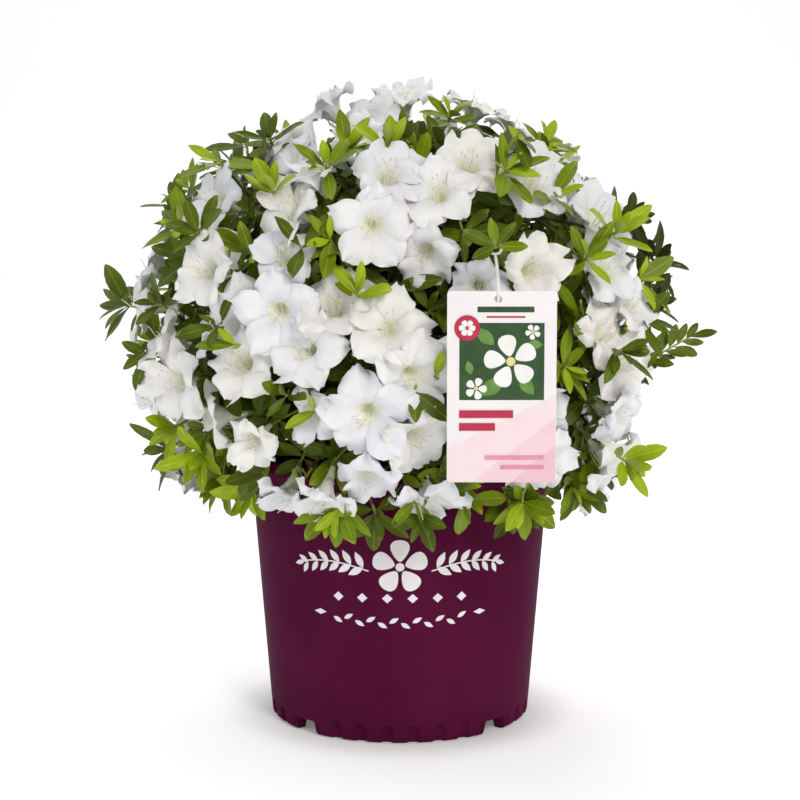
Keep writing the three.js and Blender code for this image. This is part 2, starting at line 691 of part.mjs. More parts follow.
// A tip too near its neighbours' space slides towards the middle of its own mass.
// The joints are where later twigs can fork.
function growTip(tip, mass, masses, joints) {
  const outwards = mass.site.clone().sub(CROWN_CENTRE).normalize();
  const axis = mass.site.clone().addScaledVector(outwards, 60);
  const depth = tip.bloom ? BLOOM_DEPTH : LEAF_DEPTH;
  const radius = BLOOM_RADIUS * between(0.9, 1.06, tip.key, 50);
  for (let tries = 0; tries < 8; tries++) {
    const end = tip.end.clone().lerp(axis, tries * 0.07).addScaledVector(UP, tip.lift);
    if (depthInSpace(end, mass, masses) < depth && tries < 7) continue;
    const cost = (joint) => joint.distanceTo(end) + 0.5 * joint.distanceTo(mass.site);
    const from = joints.reduce((a, b) => (cost(b) < cost(a) ? b : a));
    if (!fits(from, [end], mass, masses)) continue;
    const outward = end.clone().sub(CROWN_CENTRE).normalize();
    const inward = axis.clone().addScaledVector(outwards, 60).sub(end).normalize();
    const straight = end.clone().sub(from).normalize().lerp(outward, 0.6).addScaledVector(UP, 0.12).normalize();
    const aims = BLOOM_TUCKS.map((tuck) => straight.clone().lerp(inward, tuck).normalize());
    const rims = aims.map((aim) => bloomRim(end, aim, radius));
    const chosen = rims.findIndex((rim) => fits(end, rim.flatMap((lobe) => Object.values(lobe)), mass, masses));
    if (tip.bloom && chosen < 0 && tries < 7) continue;
    const blooming = tip.bloom && chosen >= 0;
    const aim = blooming ? aims[chosen] : straight;
    const places = blooming ? BLOOM_PLACES : [0, 1, 2, 3, 4];
    const opening = blooming ? BLOOM_LEAF_OPENING : LEAF_OPENING;
    const leaves = growLeaves(end, aim, tip.key, places, opening, mass, masses);
    if (!blooming && leaves.filter(Boolean).length < 3 && tries < 7) continue;
    joints.push(from.clone().lerp(end, 0.5));
    const shoot = shootGeometry(from, end, aim, leaves, blooming ? rims[chosen] : null);
    return tip.long ? [shoot, ...growShootLeaves(from, end, aim, tip.key, mass, masses)] : [shoot];
  }
  return [];
}

function knobSolid(centre, radius) {
  const knob = new THREE.IcosahedronGeometry(radius, 1);
  return solidOf(knob.translate(centre.x, centre.y, centre.z));
}

// A limb that leaves a knob squarely, just clear of it, and arrives at its target in a given direction.
function reachFrom(knob, knobRadius, target, arrival, radii) {
  const before = target.clone().addScaledVector(arrival, -14);
  const out = before.clone().sub(knob).normalize();
  const foot = knob.clone().addScaledVector(out, knobRadius + CLEAR);
  const after = foot.clone().addScaledVector(out, 9);
  return limbGeometry([foot, after, before, target], radii, 6);
}

function makeLimbs(masses, addNode) {
  const knobs = [];
  for (let i = 0; i < LIMB_COUNT; i++) {
    const bearing = radians(-90) + (2 * Math.PI * i) / LIMB_COUNT;
    const knob = STEM_HEAD.clone()
      .addScaledVector(bearingVector(bearing, 0), LIMB_REACH)
      .addScaledVector(UP, LIMB_RISE);
    knobs.push({ knob, bearing });
    const radii = [LIMB_RADIUS, LIMB_RADIUS * 0.92, LIMB_END_RADIUS, LIMB_END_RADIUS * 1.1];
    const arrival = bearingVector(bearing, radians(62));
    const tube = solidOf(reachFrom(STEM_HEAD, HEAD_RADIUS, knob, arrival, radii));
    const limb = tube.add(knobSolid(knob, KNOB_RADIUS));
    addNode(`limb_${i + 1}`, geometryOf(limb), "bark");
  }
  for (const mass of masses) {
    const radii = [BOUGH_RADIUS, BOUGH_RADIUS * 0.95, BOUGH_RADIUS * 0.9, BOUGH_END_RADIUS];
    const arrival = mass.site.clone().sub(mass.entry).normalize();
    const turned = (limb) => Math.abs(Math.atan2(Math.sin(limb.bearing - mass.bearing), Math.cos(limb.bearing - mass.bearing)));
    const limb = knobs.reduce((a, b) => (turned(b) < turned(a) ? b : a));
    const fromHead = mass.ring === "top";
    const start = fromHead ? STEM_HEAD : limb.knob;
    const clearOf = fromHead ? HEAD_RADIUS : KNOB_RADIUS;
    addNode(`bough_${mass.name}`, reachFrom(start, clearOf, mass.entry, arrival, radii), "bark");
  }
}

// The card, the strap that rises from it and the ring at the strap's top are one moulded piece.
function makeLabel() {
  const card = new THREE.BoxGeometry(LABEL_WIDTH, LABEL_THICKNESS, LABEL_HEIGHT);
  card.translate(LABEL_CENTRE.x, LABEL_CENTRE.y, LABEL_CENTRE.z);
  const ringFoot = RING_CENTRE.clone().addScaledVector(UP, -RING_RADIUS);
  const strap = limbGeometry([STRAP_FOOT, ringFoot], [STRAP_WIDTH / 2, STRAP_WIDTH / 2], 6);
  const ring = new THREE.TorusGeometry(RING_RADIUS, RING_WIRE, 5, 12);
  ring.rotateX(Math.PI / 2);
  ring.translate(RING_CENTRE.x, RING_CENTRE.y, RING_CENTRE.z);
  return geometryOf(mainBody(solidOf(card).add(solidOf(strap)).add(solidOf(ring))));
}

const MATERIALS = {
  pot_plastic: new THREE.MeshStandardMaterial({ color: "#5a1f3e", roughness: 0.42, metalness: 0 }),
  potting_mix: new THREE.MeshStandardMaterial({ color: "#3a2a1f", roughness: 0.95, metalness: 0 }),
  bark: new THREE.MeshStandardMaterial({ color: "#6a5240", roughness: 0.85, metalness: 0 }),
  foliage: new THREE.MeshStandardMaterial({ color: "#4c7021", roughness: 0.5, metalness: 0 }),
  label_card: new THREE.MeshStandardMaterial({ color: "#f6eef0", roughness: 0.35, metalness: 0 }),
};

const plant = new THREE.Group();

function addNode(name, geometry, material) {
  const mesh = new THREE.Mesh(geometry, MATERIALS[material]);
  mesh.name = name;
  plant.add(mesh);
  return mesh;
}

addNode("pot", makePot(), "pot_plastic");
addNode("potting_mix", makePottingMix(), "potting_mix");
addNode("main_stem", makeMainStem(), "bark");
const masses = layOutMasses();
for (const tip of layOutTips()) {
  if (!isOutside(tip.end, 6)) continue;
  nearestMass(tip.end, masses).tips.push(tip);
}
makeLimbs(masses, addNode);
for (const mass of masses) addNode(`foliage_${mass.name}`, makeMass(mass, masses), "foliage");
addNode("plant_label", makeLabel(), "label_card");

export default plant;
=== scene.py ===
# The looks of a white evergreen azalea in its nursery pot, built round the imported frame.
# Things grow in millimetres and become meshes in metres. +Z is up and the label faces -Y.
import json
import math
from collections import namedtuple

import bpy
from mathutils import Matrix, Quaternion, Vector, kdtree

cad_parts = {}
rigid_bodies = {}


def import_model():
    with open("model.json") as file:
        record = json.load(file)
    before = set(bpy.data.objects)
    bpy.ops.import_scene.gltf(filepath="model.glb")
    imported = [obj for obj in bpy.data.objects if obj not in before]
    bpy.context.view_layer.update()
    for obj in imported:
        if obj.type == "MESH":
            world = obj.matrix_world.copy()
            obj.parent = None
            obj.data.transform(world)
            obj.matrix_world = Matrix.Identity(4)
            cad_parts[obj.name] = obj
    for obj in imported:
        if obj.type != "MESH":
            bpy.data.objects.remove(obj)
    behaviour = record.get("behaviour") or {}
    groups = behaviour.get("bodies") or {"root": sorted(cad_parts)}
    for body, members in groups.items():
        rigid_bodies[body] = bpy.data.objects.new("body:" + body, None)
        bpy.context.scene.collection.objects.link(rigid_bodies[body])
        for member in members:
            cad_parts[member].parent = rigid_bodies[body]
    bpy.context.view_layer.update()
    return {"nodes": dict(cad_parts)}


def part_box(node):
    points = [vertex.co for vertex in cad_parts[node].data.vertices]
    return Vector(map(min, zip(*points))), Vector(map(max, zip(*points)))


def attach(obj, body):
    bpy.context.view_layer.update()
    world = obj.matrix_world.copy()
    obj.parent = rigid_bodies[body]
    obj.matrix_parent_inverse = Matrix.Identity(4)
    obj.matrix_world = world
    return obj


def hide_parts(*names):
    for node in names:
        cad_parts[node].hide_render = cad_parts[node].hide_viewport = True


MM = 0.001
UP = Vector((0, 0, 1))
GOLDEN_TURN = math.pi * (3 - math.sqrt(5))

# Pot
POT_TOP_RADIUS = 139
POT_FOOT_RADIUS = 121
POT_WALL = 2.6
RIM_HEIGHT = 13
RIM_STANDOUT = 3.5
FOOT_HEIGHT = 12
FOOT_RING_WIDTH = 12
CENTRE_PAD_RADIUS = 62
FLUTE_COUNT = 32
FLUTE_HALF_WIDTH = 5
FLUTE_HEIGHT = 17
FLUTE_DEPTH = 3.4
NOTCH_HALF_WIDTH = 13
NOTCH_HEIGHT = 11.5
NOTCH_COUNT = 4
COLUMNS_PER_FLUTE = 20
WALL_FOOT = 3.5
WALL_TUCK = 0.5
FLUTED_HEIGHT = 26
FLUTED_STEPS = [0.35, 1.2, 2.6, 4.5, 7, 9.5, 11.5, 13, 14.4, 15.6, 16.6, 18, 21, 26]
WALL_STEPS = [0.15, 0.35, 0.55, 0.75, 0.9, 1]
RIM_ROUND = 3
PRINT_WALL_RADIUS = 131
PRINT_RISE = 0.32
PRINT_SINK = 0.4
SPRIG_PAIRS = 6
SPRIG_STEM_STEPS = 16

# Potting mix, with crumbs of bark strewn from the stem to the wall
STEM_FOOT_RADIUS = 21
MIX_BELOW_RIM = 24
MIX_MOUND = 5
MIX_ROUGHNESS = 2.2
MIX_COLUMNS = 240
MIX_RINGS = 28
CRUMB_HALF_SIZE = (2.6, 1.5, 0.8)
CRUMBS_PER_SQUARE_METRE = 16000.0
CRUMB_RINGS = [STEM_FOOT_RADIUS * 1.2, 70, 122]
CRUMB_COLUMNS = 24

# Woody parts
STEM_RADIUS = 11
STEM_HEIGHT = 40
STEM_LEAN = 5
LIMB_COUNT = 5
LIMB_RADIUS = 5.6
LIMB_END_RADIUS = 4.6
LIMB_REACH = 54
LIMB_RISE = 58
BOUGH_RADIUS = 3.4
BOUGH_END_RADIUS = 2.8
TWIG_RADIUS = 2.2
SHOOT_RADIUS = 1.1
BARK_SWING = 1
BARK_GRAIN = 4
BARK_DRAWN_OUT = 0.22
LIMB_STEP = 2.5
LIMB_SIDES = 20
TWIG_SIDES = 6
STRAP_SIDES = 10

# The outline of the crown, and its rings of foliage masses
CROWN_CENTRE = Vector((0, 0, 372))
CROWN_RADIUS = 226
CROWN_DEPTH = 214
CROWN_RISE = 179
CROWN_DROP = 188
UPPER_POWER = 2.3
LOWER_POWER = 2.8
ENTRY_SHARE = 0.42
HOLLOW_SHARE = 0.44
SITE_SHARE = 0.66
MASS_RINGS = [
    ("top", 1, 90, 90, 0),
    ("upper", 4, 34, 40, -60),
    ("lower", 5, -17, -26, -97),
]
MASS_MARGIN = 0.4

# Shoots, leaves and blooms that the solids have too
SPIRAL_TIPS = 190
SKIRT_TIPS = 15
SKIRT_RADIUS = 184
SKIRT_HEIGHT = 222
BLOOM_SHARE = 0.44
LEAF_TIP_ROOM = 21
BLOOM_TIP_ROOM = 30
TRUSS_SPREADS = [0, 27, 33]
TRUSS_SHARE = 0.93
BLOOM_DEPTH = 22
LEAF_DEPTH = 9
PLACES = 5
LEAF_LENGTH = 46
LEAF_WIDTH = 20
LEAF_THICKNESS = 1.8
LEAF_OPENING = 0.95
LEAF_TRIALS = [(0, 1), (0.35, 1), (0, 0.78), (0.35, 0.78), (0.15, 0.56)]
BLOOM_RADIUS = 34
BLOOM_LENGTH = 36
BLOOM_TUCKS = [0, 0.25, 0.5, 0.75]
FIT_STEPS = [0.15, 0.3, 0.45, 0.6, 0.75, 0.9, 1]

# Blossom clusters that stand out on the near side: across, up and how many blooms
NEAR_TRUSSES = [
    (-22, 560, 2), (-98, 520, 2), (-170, 478, 2), (-68, 452, 1), (2, 455, 3), (62, 510, 2),
    (128, 470, 2), (182, 462, 1), (-118, 400, 2), (28, 392, 1), (92, 412, 1), (-32, 340, 3),
    (-148, 330, 2), (-205, 380, 1), (176, 372, 1), (-108, 258, 2), (-8, 246, 2), (168, 300, 1),
    (140, 246, 2),
]

# Leafy shoots that reach past the dome: bearing, elevation, reach and lift
LONG_SHOOTS = [
    (-2, -14, 284, 26), (-6, 10, 272, 8), (-10, -36, 258, -6), (3, 22, 250, 4), (-4, 43, 233, 4),
    (2, 60, 222, 2), (180, 1, 288, 4), (178, -15, 266, 0), (186, -28, 276, -10), (184, -44, 250, 0),
    (176, 25, 262, 4), (183, 41, 232, 4), (178, 58, 220, 2), (90, 6, 240, 14), (55, -22, 236, 10),
    (128, 24, 240, 12), (100, 48, 218, 4), (215, 40, 226, 8), (-35, 42, 224, 8),
    (-106, -39, 270, -6), (-86, -40, 266, 0), (-55, -40, 268, -4),
]

# Finer growth that only the looks have. Whorls that stand out on the near side: across, up and tone
NEAR_WHORLS = [
    (-114, 528, "mature"), (-139, 527, "mature"), (-144, 503, "mid"), (-193, 488, "mid"),
    (-189, 452, "mid"), (-156, 444, "mature"), (-180, 426, "mature"), (-211, 385, "mature"),
    (-102, 478, "young"), (-45, 517, "mid"), (-8, 516, "young"), (-54, 482, "mid"),
    (-34, 397, "young"), (83, 506, "mature"), (129, 524, "mid"), (78, 484, "mid"),
    (52, 447, "mature"), (123, 472, "mid"), (165, 440, "young"), (201, 404, "mid"),
    (233, 402, "mature"), (200, 368, "mature"), (-236, 346, "mid"), (-210, 334, "mature"),
    (-200, 276, "young"), (-174, 252, "young"), (-92, 314, "mature"), (-65, 305, "young"),
    (-57, 220, "mid"), (-21, 210, "mature"), (10, 321, "mature"), (26, 335, "young"),
    (136, 336, "mid"), (176, 265, "young"), (153, 224, "mid"), (104, 217, "mature"),
    (-147, 370, "mature"), (-131, 354, "mid"), (17, 216, "mature"), (168, 348, "mature"),
    (-79, 432, "mature"), (-56, 440, "mid"), (45, 551, "mid"), (150, 422, "mid"),
    # These three whorls take the darkest tone: painted shadow on the right flank
    (212, 462, "shade"), (238, 428, "shade"), (226, 384, "shade"),
]
# More blooms on the near side: across and up
NEAR_BLOOMS = [
    (-112, 284), (-84, 262), (-55, 254), (-28, 284), (-8, 252), (22, 248), (33, 286), (132, 258),
    (104, 252), (152, 356), (203, 416), (98, 474), (150, 506), (18, 506), (-140, 452), (-62, 552),
    (196, 322), (-196, 306), (60, 556), (-40, 430), (-70, 418), (118, 546), (100, 440), (160, 410),
    (-26, 524), (-128, 508), (-84, 512), (-160, 470), (-66, 545), (-30, 562), (164, 268),
    (172, 240), (96, 530),
]
NEAR_BLOOM_SPACING = 36
OWN_BLOOM_SPACING = 28
FAR_BLOOM_TRIES = 130
FAR_BLOOM_SPACING = 42
RIM_SHARE = 0.35
# Where the crown falls in: bearing, elevation, spread in degrees and depth as a share
HOLLOWS = [
    (-4, -13, 24, 0.24), (182, -21, 18, 0.14), (-58, -34, 16, 0.1), (178, 47, 28, 0.17),
    (0, 40, 22, 0.15), (226, 50, 30, 0.14), (134, 50, 30, 0.14), (-44, 52, 26, 0.1),
    (48, 50, 26, 0.1),
]
RIGHT_BLOOM_REACH = 190
NEAR_BUDS = [(-174, 416), (-155, 428), (-46, 417), (79, 492), (-92, 328), (-87, 333), (-13, 550), (132, 395)]
NEAR_BLOOM_SHARE = 0.94
BUD_SHARE = 0.98
WHORL_SHARE = 1.03
LEAF_LIMIT = 1.17
WHORL_LIMIT = 1.3
SUNNY_SIDE = Vector((0.2, -1, 0))
FILLER_TIPS = 700
FILLER_ROOM = 26
UNEVEN_REACH = 0.26
DARK_SHOOTS_FROM = 150
LATE_SHOOT_LENGTH = 125
LATE_LEAVES = 28
INNER_TIPS = 230
SKIRT_SHOOTS = 44
BLOSSOM_ROOM = 25
LEAF_BLOSSOM_ROOM = 21
BLOSSOM_SEARCH = 60
PETAL_CLEARANCE = 2.5
WHORL_LIFT = 6
THROAT_RADIUS = 9.4
PETAL_RISE = 24
BLOSSOM_SPACING = 40
TRUSS_PARTNERS = 3
TRUSS_SPREAD = 27
STALK_RADII = (1.1, 0.9)
WHORL_LEAVES = 7
OUTER_LEAVES = 8
FILLER_LEAVES = 6
COLLAR_LEAVES = 6
COLLAR_BEHIND = 6
SHOOT_LEAF_SPACING = 10
REAL_LEAF_LENGTH = 37
LEAF_SHAPES = 8
BLOOM_SHAPES = 10
BLOOM_FLARES = [0.96, 1.06, 0.88, 1.08, 0.78, 1, 0.9, 1.1, 0.74, 0.94]
BLOOM_SWELL = 1.06
BLOOM_NOD = 0.4
FUNNEL_SHARE = 0.42
PETAL_HALF_WIDTH = 0.46
PETAL_ROWS = 15
PETAL_STRIPS = 10
THROAT_ROWS = 3
BASE_ROWS = 6
FRECKLES = 16
STAMENS = 6
BUD_LENGTH = 27
BUD_RADIUS = 5.2

SHEET_BORDER_ANGLE = math.radians(75)

# Label
LABEL_CENTRE = Vector((79, -250, 325))
LABEL_WIDTH = 85
LABEL_HEIGHT = 149
LABEL_THICKNESS = 1.2
LABEL_CORNER = 2.5
STRAP_FOOT = Vector((76, -250, 392))
RING_CENTRE = Vector((75, -226, 433))
RING_RADIUS = 5
RING_WIRE = 1.3
LABEL_TWIG_BEYOND = 9
LABEL_TWIG_LEAVES = 7
CLEAR = 0.3
RING_CATCH = RING_RADIUS - RING_WIRE - TWIG_RADIUS - 2 * CLEAR
LABEL_ROOM = 4
LABEL_HOLE = (-3, 6)
LABEL_HOLE_RADIUS = 3
LABEL_HOLE_SPOKES = 36
INK_RISE = 0.15
INK_SINK = 0.05
PRINT_PETAL_POINTS = 28

# Studio, in metres: the paper's profile from front to back, the lamps and the camera
PAPER_PROFILE = [(-2.6, 0), (1.2, 0), (1.7, 0.08), (2.1, 0.35), (2.35, 0.8), (2.45, 1.6), (2.45, 4)]
PAPER_HALF_WIDTH = 4
# The paper's painted glow: weakest within the first radius, where it paints a shadow round the pot's foot,
# and full beyond the second
PAINTED_SHADOW_RADII = (0.118, 0.175)
SHADOW_AND_GLOW_STRENGTHS = (0.16, 0.37)
SKY_STRENGTH = 0.31
LAMPS = [
    ("key", (0.9, -2.1, 1.6), 0.8, 27, "#fff9f2"),
    ("fill", (-1.7, -0.5, 1.2), 1.0, 5, "#eef3ff"),
    ("top", (-0.9, 0.1, 2.0), 0.9, 5, "#ffffff"),
    ("back", (0.3, 1.25, 2.1), 0.9, 11, "#ffffff"),
]
LAMP_AIM = (0, 0, 0.3)
CAMERA_PLACE = (0, -1.5, 0.43)
CAMERA_AIM = (0, 0, 0.292)
SENSOR_WIDTH = 36
LENS = 72.6

# The numbers from which each kind of growth counts, so that each draws its own chances.
# The first long shoot is the slender late one
TRUSS_KEYS = 500
LONG_SHOOT_KEYS = 700
LATE_SHOOT_KEY = LONG_SHOOT_KEYS
SKIRT_KEYS = 900
FILLER_KEYS = 2000
INNER_KEYS = 4000
SKIRT_SHOOT_KEYS = 6000
WHORL_KEYS = 8000
BUD_KEYS = 8500
NEAR_BLOOM_KEYS = 8700
FAR_BLOOM_KEYS = 8900

# Finishes by number, in the meshes of leaves, blooms and buds
BLADE, RIB, UNDERSIDE = range(3)
PETAL, THROAT, FRECKLE, FILAMENT, ANTHER, CALYX, PETAL_BASE = range(7)
BUD_TIP, BUD_FOOT = range(2)
FRECKLE_FACES = [[0, 2, 1], [0, 3, 2], [0, 4, 3], [0, 1, 4], [5, 1, 2], [5, 2, 3], [5, 3, 4], [5, 4, 1]]

Tip = namedtuple("Tip", "end bloom key lift long")
Shoot = namedtuple("Shoot", "start end aim bloom radius key long")
Leaf = namedtuple("Leaf", "foot along face length width shape")
Bloom = namedtuple("Bloom", "foot aim up radius shape")
Path = namedtuple("Path", "points radii")


def chance(thing, trait):
    """A repeatable chance from 0 to 1 for one numbered thing and one trait of it."""
    wave = math.sin(thing * 12.9898 + trait * 78.233) * 43758.5453
    return wave - math.floor(wave)


def between(low, high, thing, trait):
    return low + (high - low) * chance(thing, trait)


def on_circle(x, z, radius, turn):
    return x + radius * math.cos(turn), z + radius * math.sin(turn)


def smooth(value, start, end):
    """Rises smoothly from 0 at start to 1 at end."""
    share = min(1, max(0, (value - start) / (end - start)))
    return share * share * (3 - 2 * share)


def bearing_vector(bearing, elevation):
    level = math.cos(elevation)
    return Vector((math.cos(bearing) * level, math.sin(bearing) * level, math.sin(elevation)))


def heading_at(bearing, elevation):
    """A direction from a bearing and an elevation in degrees."""
    return bearing_vector(math.radians(bearing), math.radians(elevation))


# The source's rule for the crown, written again


def outline(direction):
    """How far out the crown's outline lies in a direction from its centre."""
    level = math.hypot(direction.x / CROWN_RADIUS, direction.y / CROWN_DEPTH)
    height = abs(direction.z) / (CROWN_RISE if direction.z > 0 else CROWN_DROP)
    power = UPPER_POWER if direction.z > 0 else LOWER_POWER
    return (level**power + height**power) ** (-1 / power)


def outline_share(point):
    offset = point - CROWN_CENTRE
    return offset.length / outline(offset.normalized())


def outward_at(point):
    return (point - CROWN_CENTRE).normalized()


def at_share(direction, share):
    return CROWN_CENTRE + direction * outline(direction) * share


class Mass:
    """A mass of foliage: its middle, where its bough enters it, and the forks that its twigs leave from."""

    def __init__(self, name, ring, bearing, site, entry):
        self.name = name
        self.ring = ring
        self.bearing = bearing
        self.site = site
        self.entry = entry
        self.tips = []
        self.joints = [site.copy()]
        self.borders = []

    def depth(self, point):
        """How deep a point lies inside the mass's own space."""
        return min((middle - point).dot(normal) for middle, normal in self.borders)


def lay_out_masses():
    masses = []
    for ring, count, elevation, entry, first in MASS_RINGS:
        for i in range(count):
            bearing = math.radians(first) + 2 * math.pi * i / count
            name = f"{ring}_{i + 1}" if count > 1 else ring
            site = at_share(bearing_vector(bearing, math.radians(elevation)), SITE_SHARE)
            door = at_share(bearing_vector(bearing, math.radians(entry)), ENTRY_SHARE)
            masses.append(Mass(name, ring, bearing, site, door))
    for mass in masses:
        for other in masses:
            if other is not mass:
                apart = other.site - mass.site
                mass.borders.append(((other.site + mass.site) / 2, apart.normalized()))
    return masses


def nearest_mass(point, masses):
    return min(masses, key=lambda mass: (point - mass.site).length_squared)


def near_side_point(across, up, share):
    """A point on the near side of the dome, from its place across and up."""
    point = Vector((across, 0, up))
    if outline_share(point) > share:
        return at_share(outward_at(point), share)
    while outline_share(point) < share:
        point.y -= 1
    return point


def crowded(end, bloom, tips):
    own = BLOOM_TIP_ROOM if bloom else LEAF_TIP_ROOM
    for tip in tips:
        room = own + (BLOOM_TIP_ROOM if tip.bloom else LEAF_TIP_ROOM)
        if (tip.end - end).length < room:
            return True
    return False


def lay_out_tips():
    """The tips that the solids have: near trusses, long shoots, the skirt, then a spiral over the crown."""
    tips = []
    for i, (across, up, blooms) in enumerate(NEAR_TRUSSES):
        start = chance(i, 7) * math.pi
        for k in range(blooms):
            turn = start + 2 * math.pi * k / blooms
            spread = TRUSS_SPREADS[blooms - 1]
            x = across + math.cos(turn) * spread
            z = up + math.sin(turn) * spread
            tips.append(Tip(near_side_point(x, z, TRUSS_SHARE), True, TRUSS_KEYS + 3 * i + k, 0, False))
    for i, (bearing, elevation, reach, lift) in enumerate(LONG_SHOOTS):
        direction = heading_at(bearing, elevation)
        end = CROWN_CENTRE + direction * (reach - LEAF_LENGTH * 0.7)
        tips.append(Tip(end, False, LONG_SHOOT_KEYS + i, lift, True))
    for i in range(SKIRT_TIPS):
        bearing = 2 * math.pi * (i + between(-0.2, 0.2, SKIRT_KEYS + i, 1)) / SKIRT_TIPS
        end = bearing_vector(bearing, 0) * SKIRT_RADIUS
        end.z = SKIRT_HEIGHT + 16 * (i % 2)
        bloom = chance(i, 6) < BLOOM_SHARE
        if not crowded(end, bloom, tips):
            tips.append(Tip(end, bloom, SKIRT_KEYS + i, 0, False))
    for i in range(SPIRAL_TIPS):
        height = 1 - 2 * (i + 0.5) / SPIRAL_TIPS
        elevation = math.asin(height) + between(-0.07, 0.07, i, 1)
        bearing = GOLDEN_TURN * i + between(-0.1, 0.1, i, 2)
        end = at_share(bearing_vector(bearing, elevation), between(0.88, 0.99, i, 3))
        bloom = chance(i, 4) < BLOOM_SHARE
        if not crowded(end, bloom, tips):
            tips.append(Tip(end, bloom, i, 0, False))
    return tips


def near_label(point, room=LABEL_ROOM):
    beside = abs(point.x - LABEL_CENTRE.x) < LABEL_WIDTH / 2 + room
    level = abs(point.z - LABEL_CENTRE.z) < LABEL_HEIGHT / 2 + room
    if beside and level and point.y < LABEL_CENTRE.y + room + 3:
        return True
    strap = RING_CENTRE - STRAP_FOOT
    share = min(1, max(0, (point - STRAP_FOOT).dot(strap) / strap.length_squared))
    return (STRAP_FOOT + strap * share - point).length < room + RING_RADIUS


def edge_limit(point):
    """How much further in the crown ends near its hollows, as a share of its outline."""
    direction = outward_at(point)
    fall = 0
    for bearing, elevation, spread, depth in HOLLOWS:
        apart = direction.angle(heading_at(bearing, elevation))
        fall = max(fall, depth * (1 - smooth(math.degrees(apart), spread * 0.4, spread)))
    return fall


def over_pot(point, spare):
    radius = math.hypot(point.x, point.y)
    return point.z < POT_HEIGHT + spare and radius < POT_TOP_RADIUS + RIM_STANDOUT + spare


def is_outside(point, spare):
    return not over_pot(point, spare) and outline_share(point) > HOLLOW_SHARE


def fits(foot, corners, mass):
    """Whether a piece stays in its mass's own space, out of the crown's inside and off the label."""
    if not all(mass.depth(corner) > MASS_MARGIN for corner in corners):
        return False
    for corner in corners:
        for share in FIT_STEPS:
            point = foot.lerp(corner, share)
            if near_label(point) or not is_outside(point, 3):
                return False
    return True


def square_to(direction):
    reference = Vector((1, 0, 0)) if abs(direction.z) > 0.9 else UP
    return direction.cross(reference).normalized()


def spoke_at(aim, turn):
    return Quaternion(aim, turn) @ square_to(aim)


def leaf_corners(foot, along, face, length):
    side = face.cross(along).normalized()
    upper = along.cross(side).normalized()
    half = LEAF_WIDTH / LEAF_LENGTH * length * 0.5
    widest = foot + along * 0.56 * length + upper * LEAF_THICKNESS
    tip = foot + along * length - upper * length * 0.08
    keel = foot + along * 0.5 * length - upper * LEAF_THICKNESS
    return [widest - side * half, widest + side * half, tip, keel]


def leaf_count(tip, aim, key, mass):
    """How many leaves of the solid's whorl find room round a tip."""
    found = 0
    for k in range(PLACES):
        turn = 2 * math.pi * (k + 0.5) / PLACES + between(-0.16, 0.16, key, 20 + k)
        spoke = spoke_at(aim, turn)
        spread = LEAF_OPENING + between(-0.2, 0.2, key, 30 + k)
        length = LEAF_LENGTH * between(0.85, 1.12, key, 40 + k)
        for tuck, share in LEAF_TRIALS:
            opened = spread * (1 - tuck)
            along = aim * math.cos(opened) + spoke * math.sin(opened)
            if fits(tip, leaf_corners(tip, along, aim, length * share), mass):
                found += 1
                break
    return found


def bloom_rim(foot, aim, radius):
    rim = []
    for k in range(PLACES):
        for turn, out, ahead in ((k, 0.68, 0.9), (k + 0.25, 1, 0.95), (k + 0.75, 1, 0.95)):
            spoke = spoke_at(aim, turn * 2 * math.pi / PLACES)
            rim.append(foot + aim * BLOOM_LENGTH * ahead + spoke * out * radius)
    return rim


def best_fork(end, mass):
    cost = [(joint - end).length + 0.5 * (joint - mass.site).length for joint in mass.joints]
    return mass.joints[cost.index(min(cost))]


def grow_tip(tip, mass):
    """Where a tip of the solids ends up: it slides towards its mass's middle until it fits."""
    outwards = outward_at(mass.site)
    axis = mass.site + outwards * 60
    depth = BLOOM_DEPTH if tip.bloom else LEAF_DEPTH
    radius = BLOOM_RADIUS * between(0.9, 1.06, tip.key, 50)
    for tries in range(8):
        last = tries == 7
        end = tip.end.lerp(axis, tries * 0.07) + UP * tip.lift
        if mass.depth(end) < depth and not last:
            continue
        start = best_fork(end, mass)
        if not fits(start, [end], mass):
            continue
        outward = outward_at(end)
        inward = (axis + outwards * 60 - end).normalized()
        straight = ((end - start).normalized().lerp(outward, 0.6) + UP * 0.12).normalized()
        aims = [straight.lerp(inward, tuck).normalized() for tuck in BLOOM_TUCKS]
        fitting = [aim for aim in aims if fits(end, bloom_rim(end, aim, radius), mass)]
        if tip.bloom and not fitting and not last:
            continue
        blooming = tip.bloom and bool(fitting)
        aim = fitting[0] if blooming else straight
        if not blooming and not last and leaf_count(end, aim, tip.key, mass) < 3:
            continue
        mass.joints.append(start.lerp(end, 0.5))
        return Shoot(start, end, aim, blooming, radius, tip.key, tip.long)
    return None


# Growth carried on to finer twigs, leaves and blossom


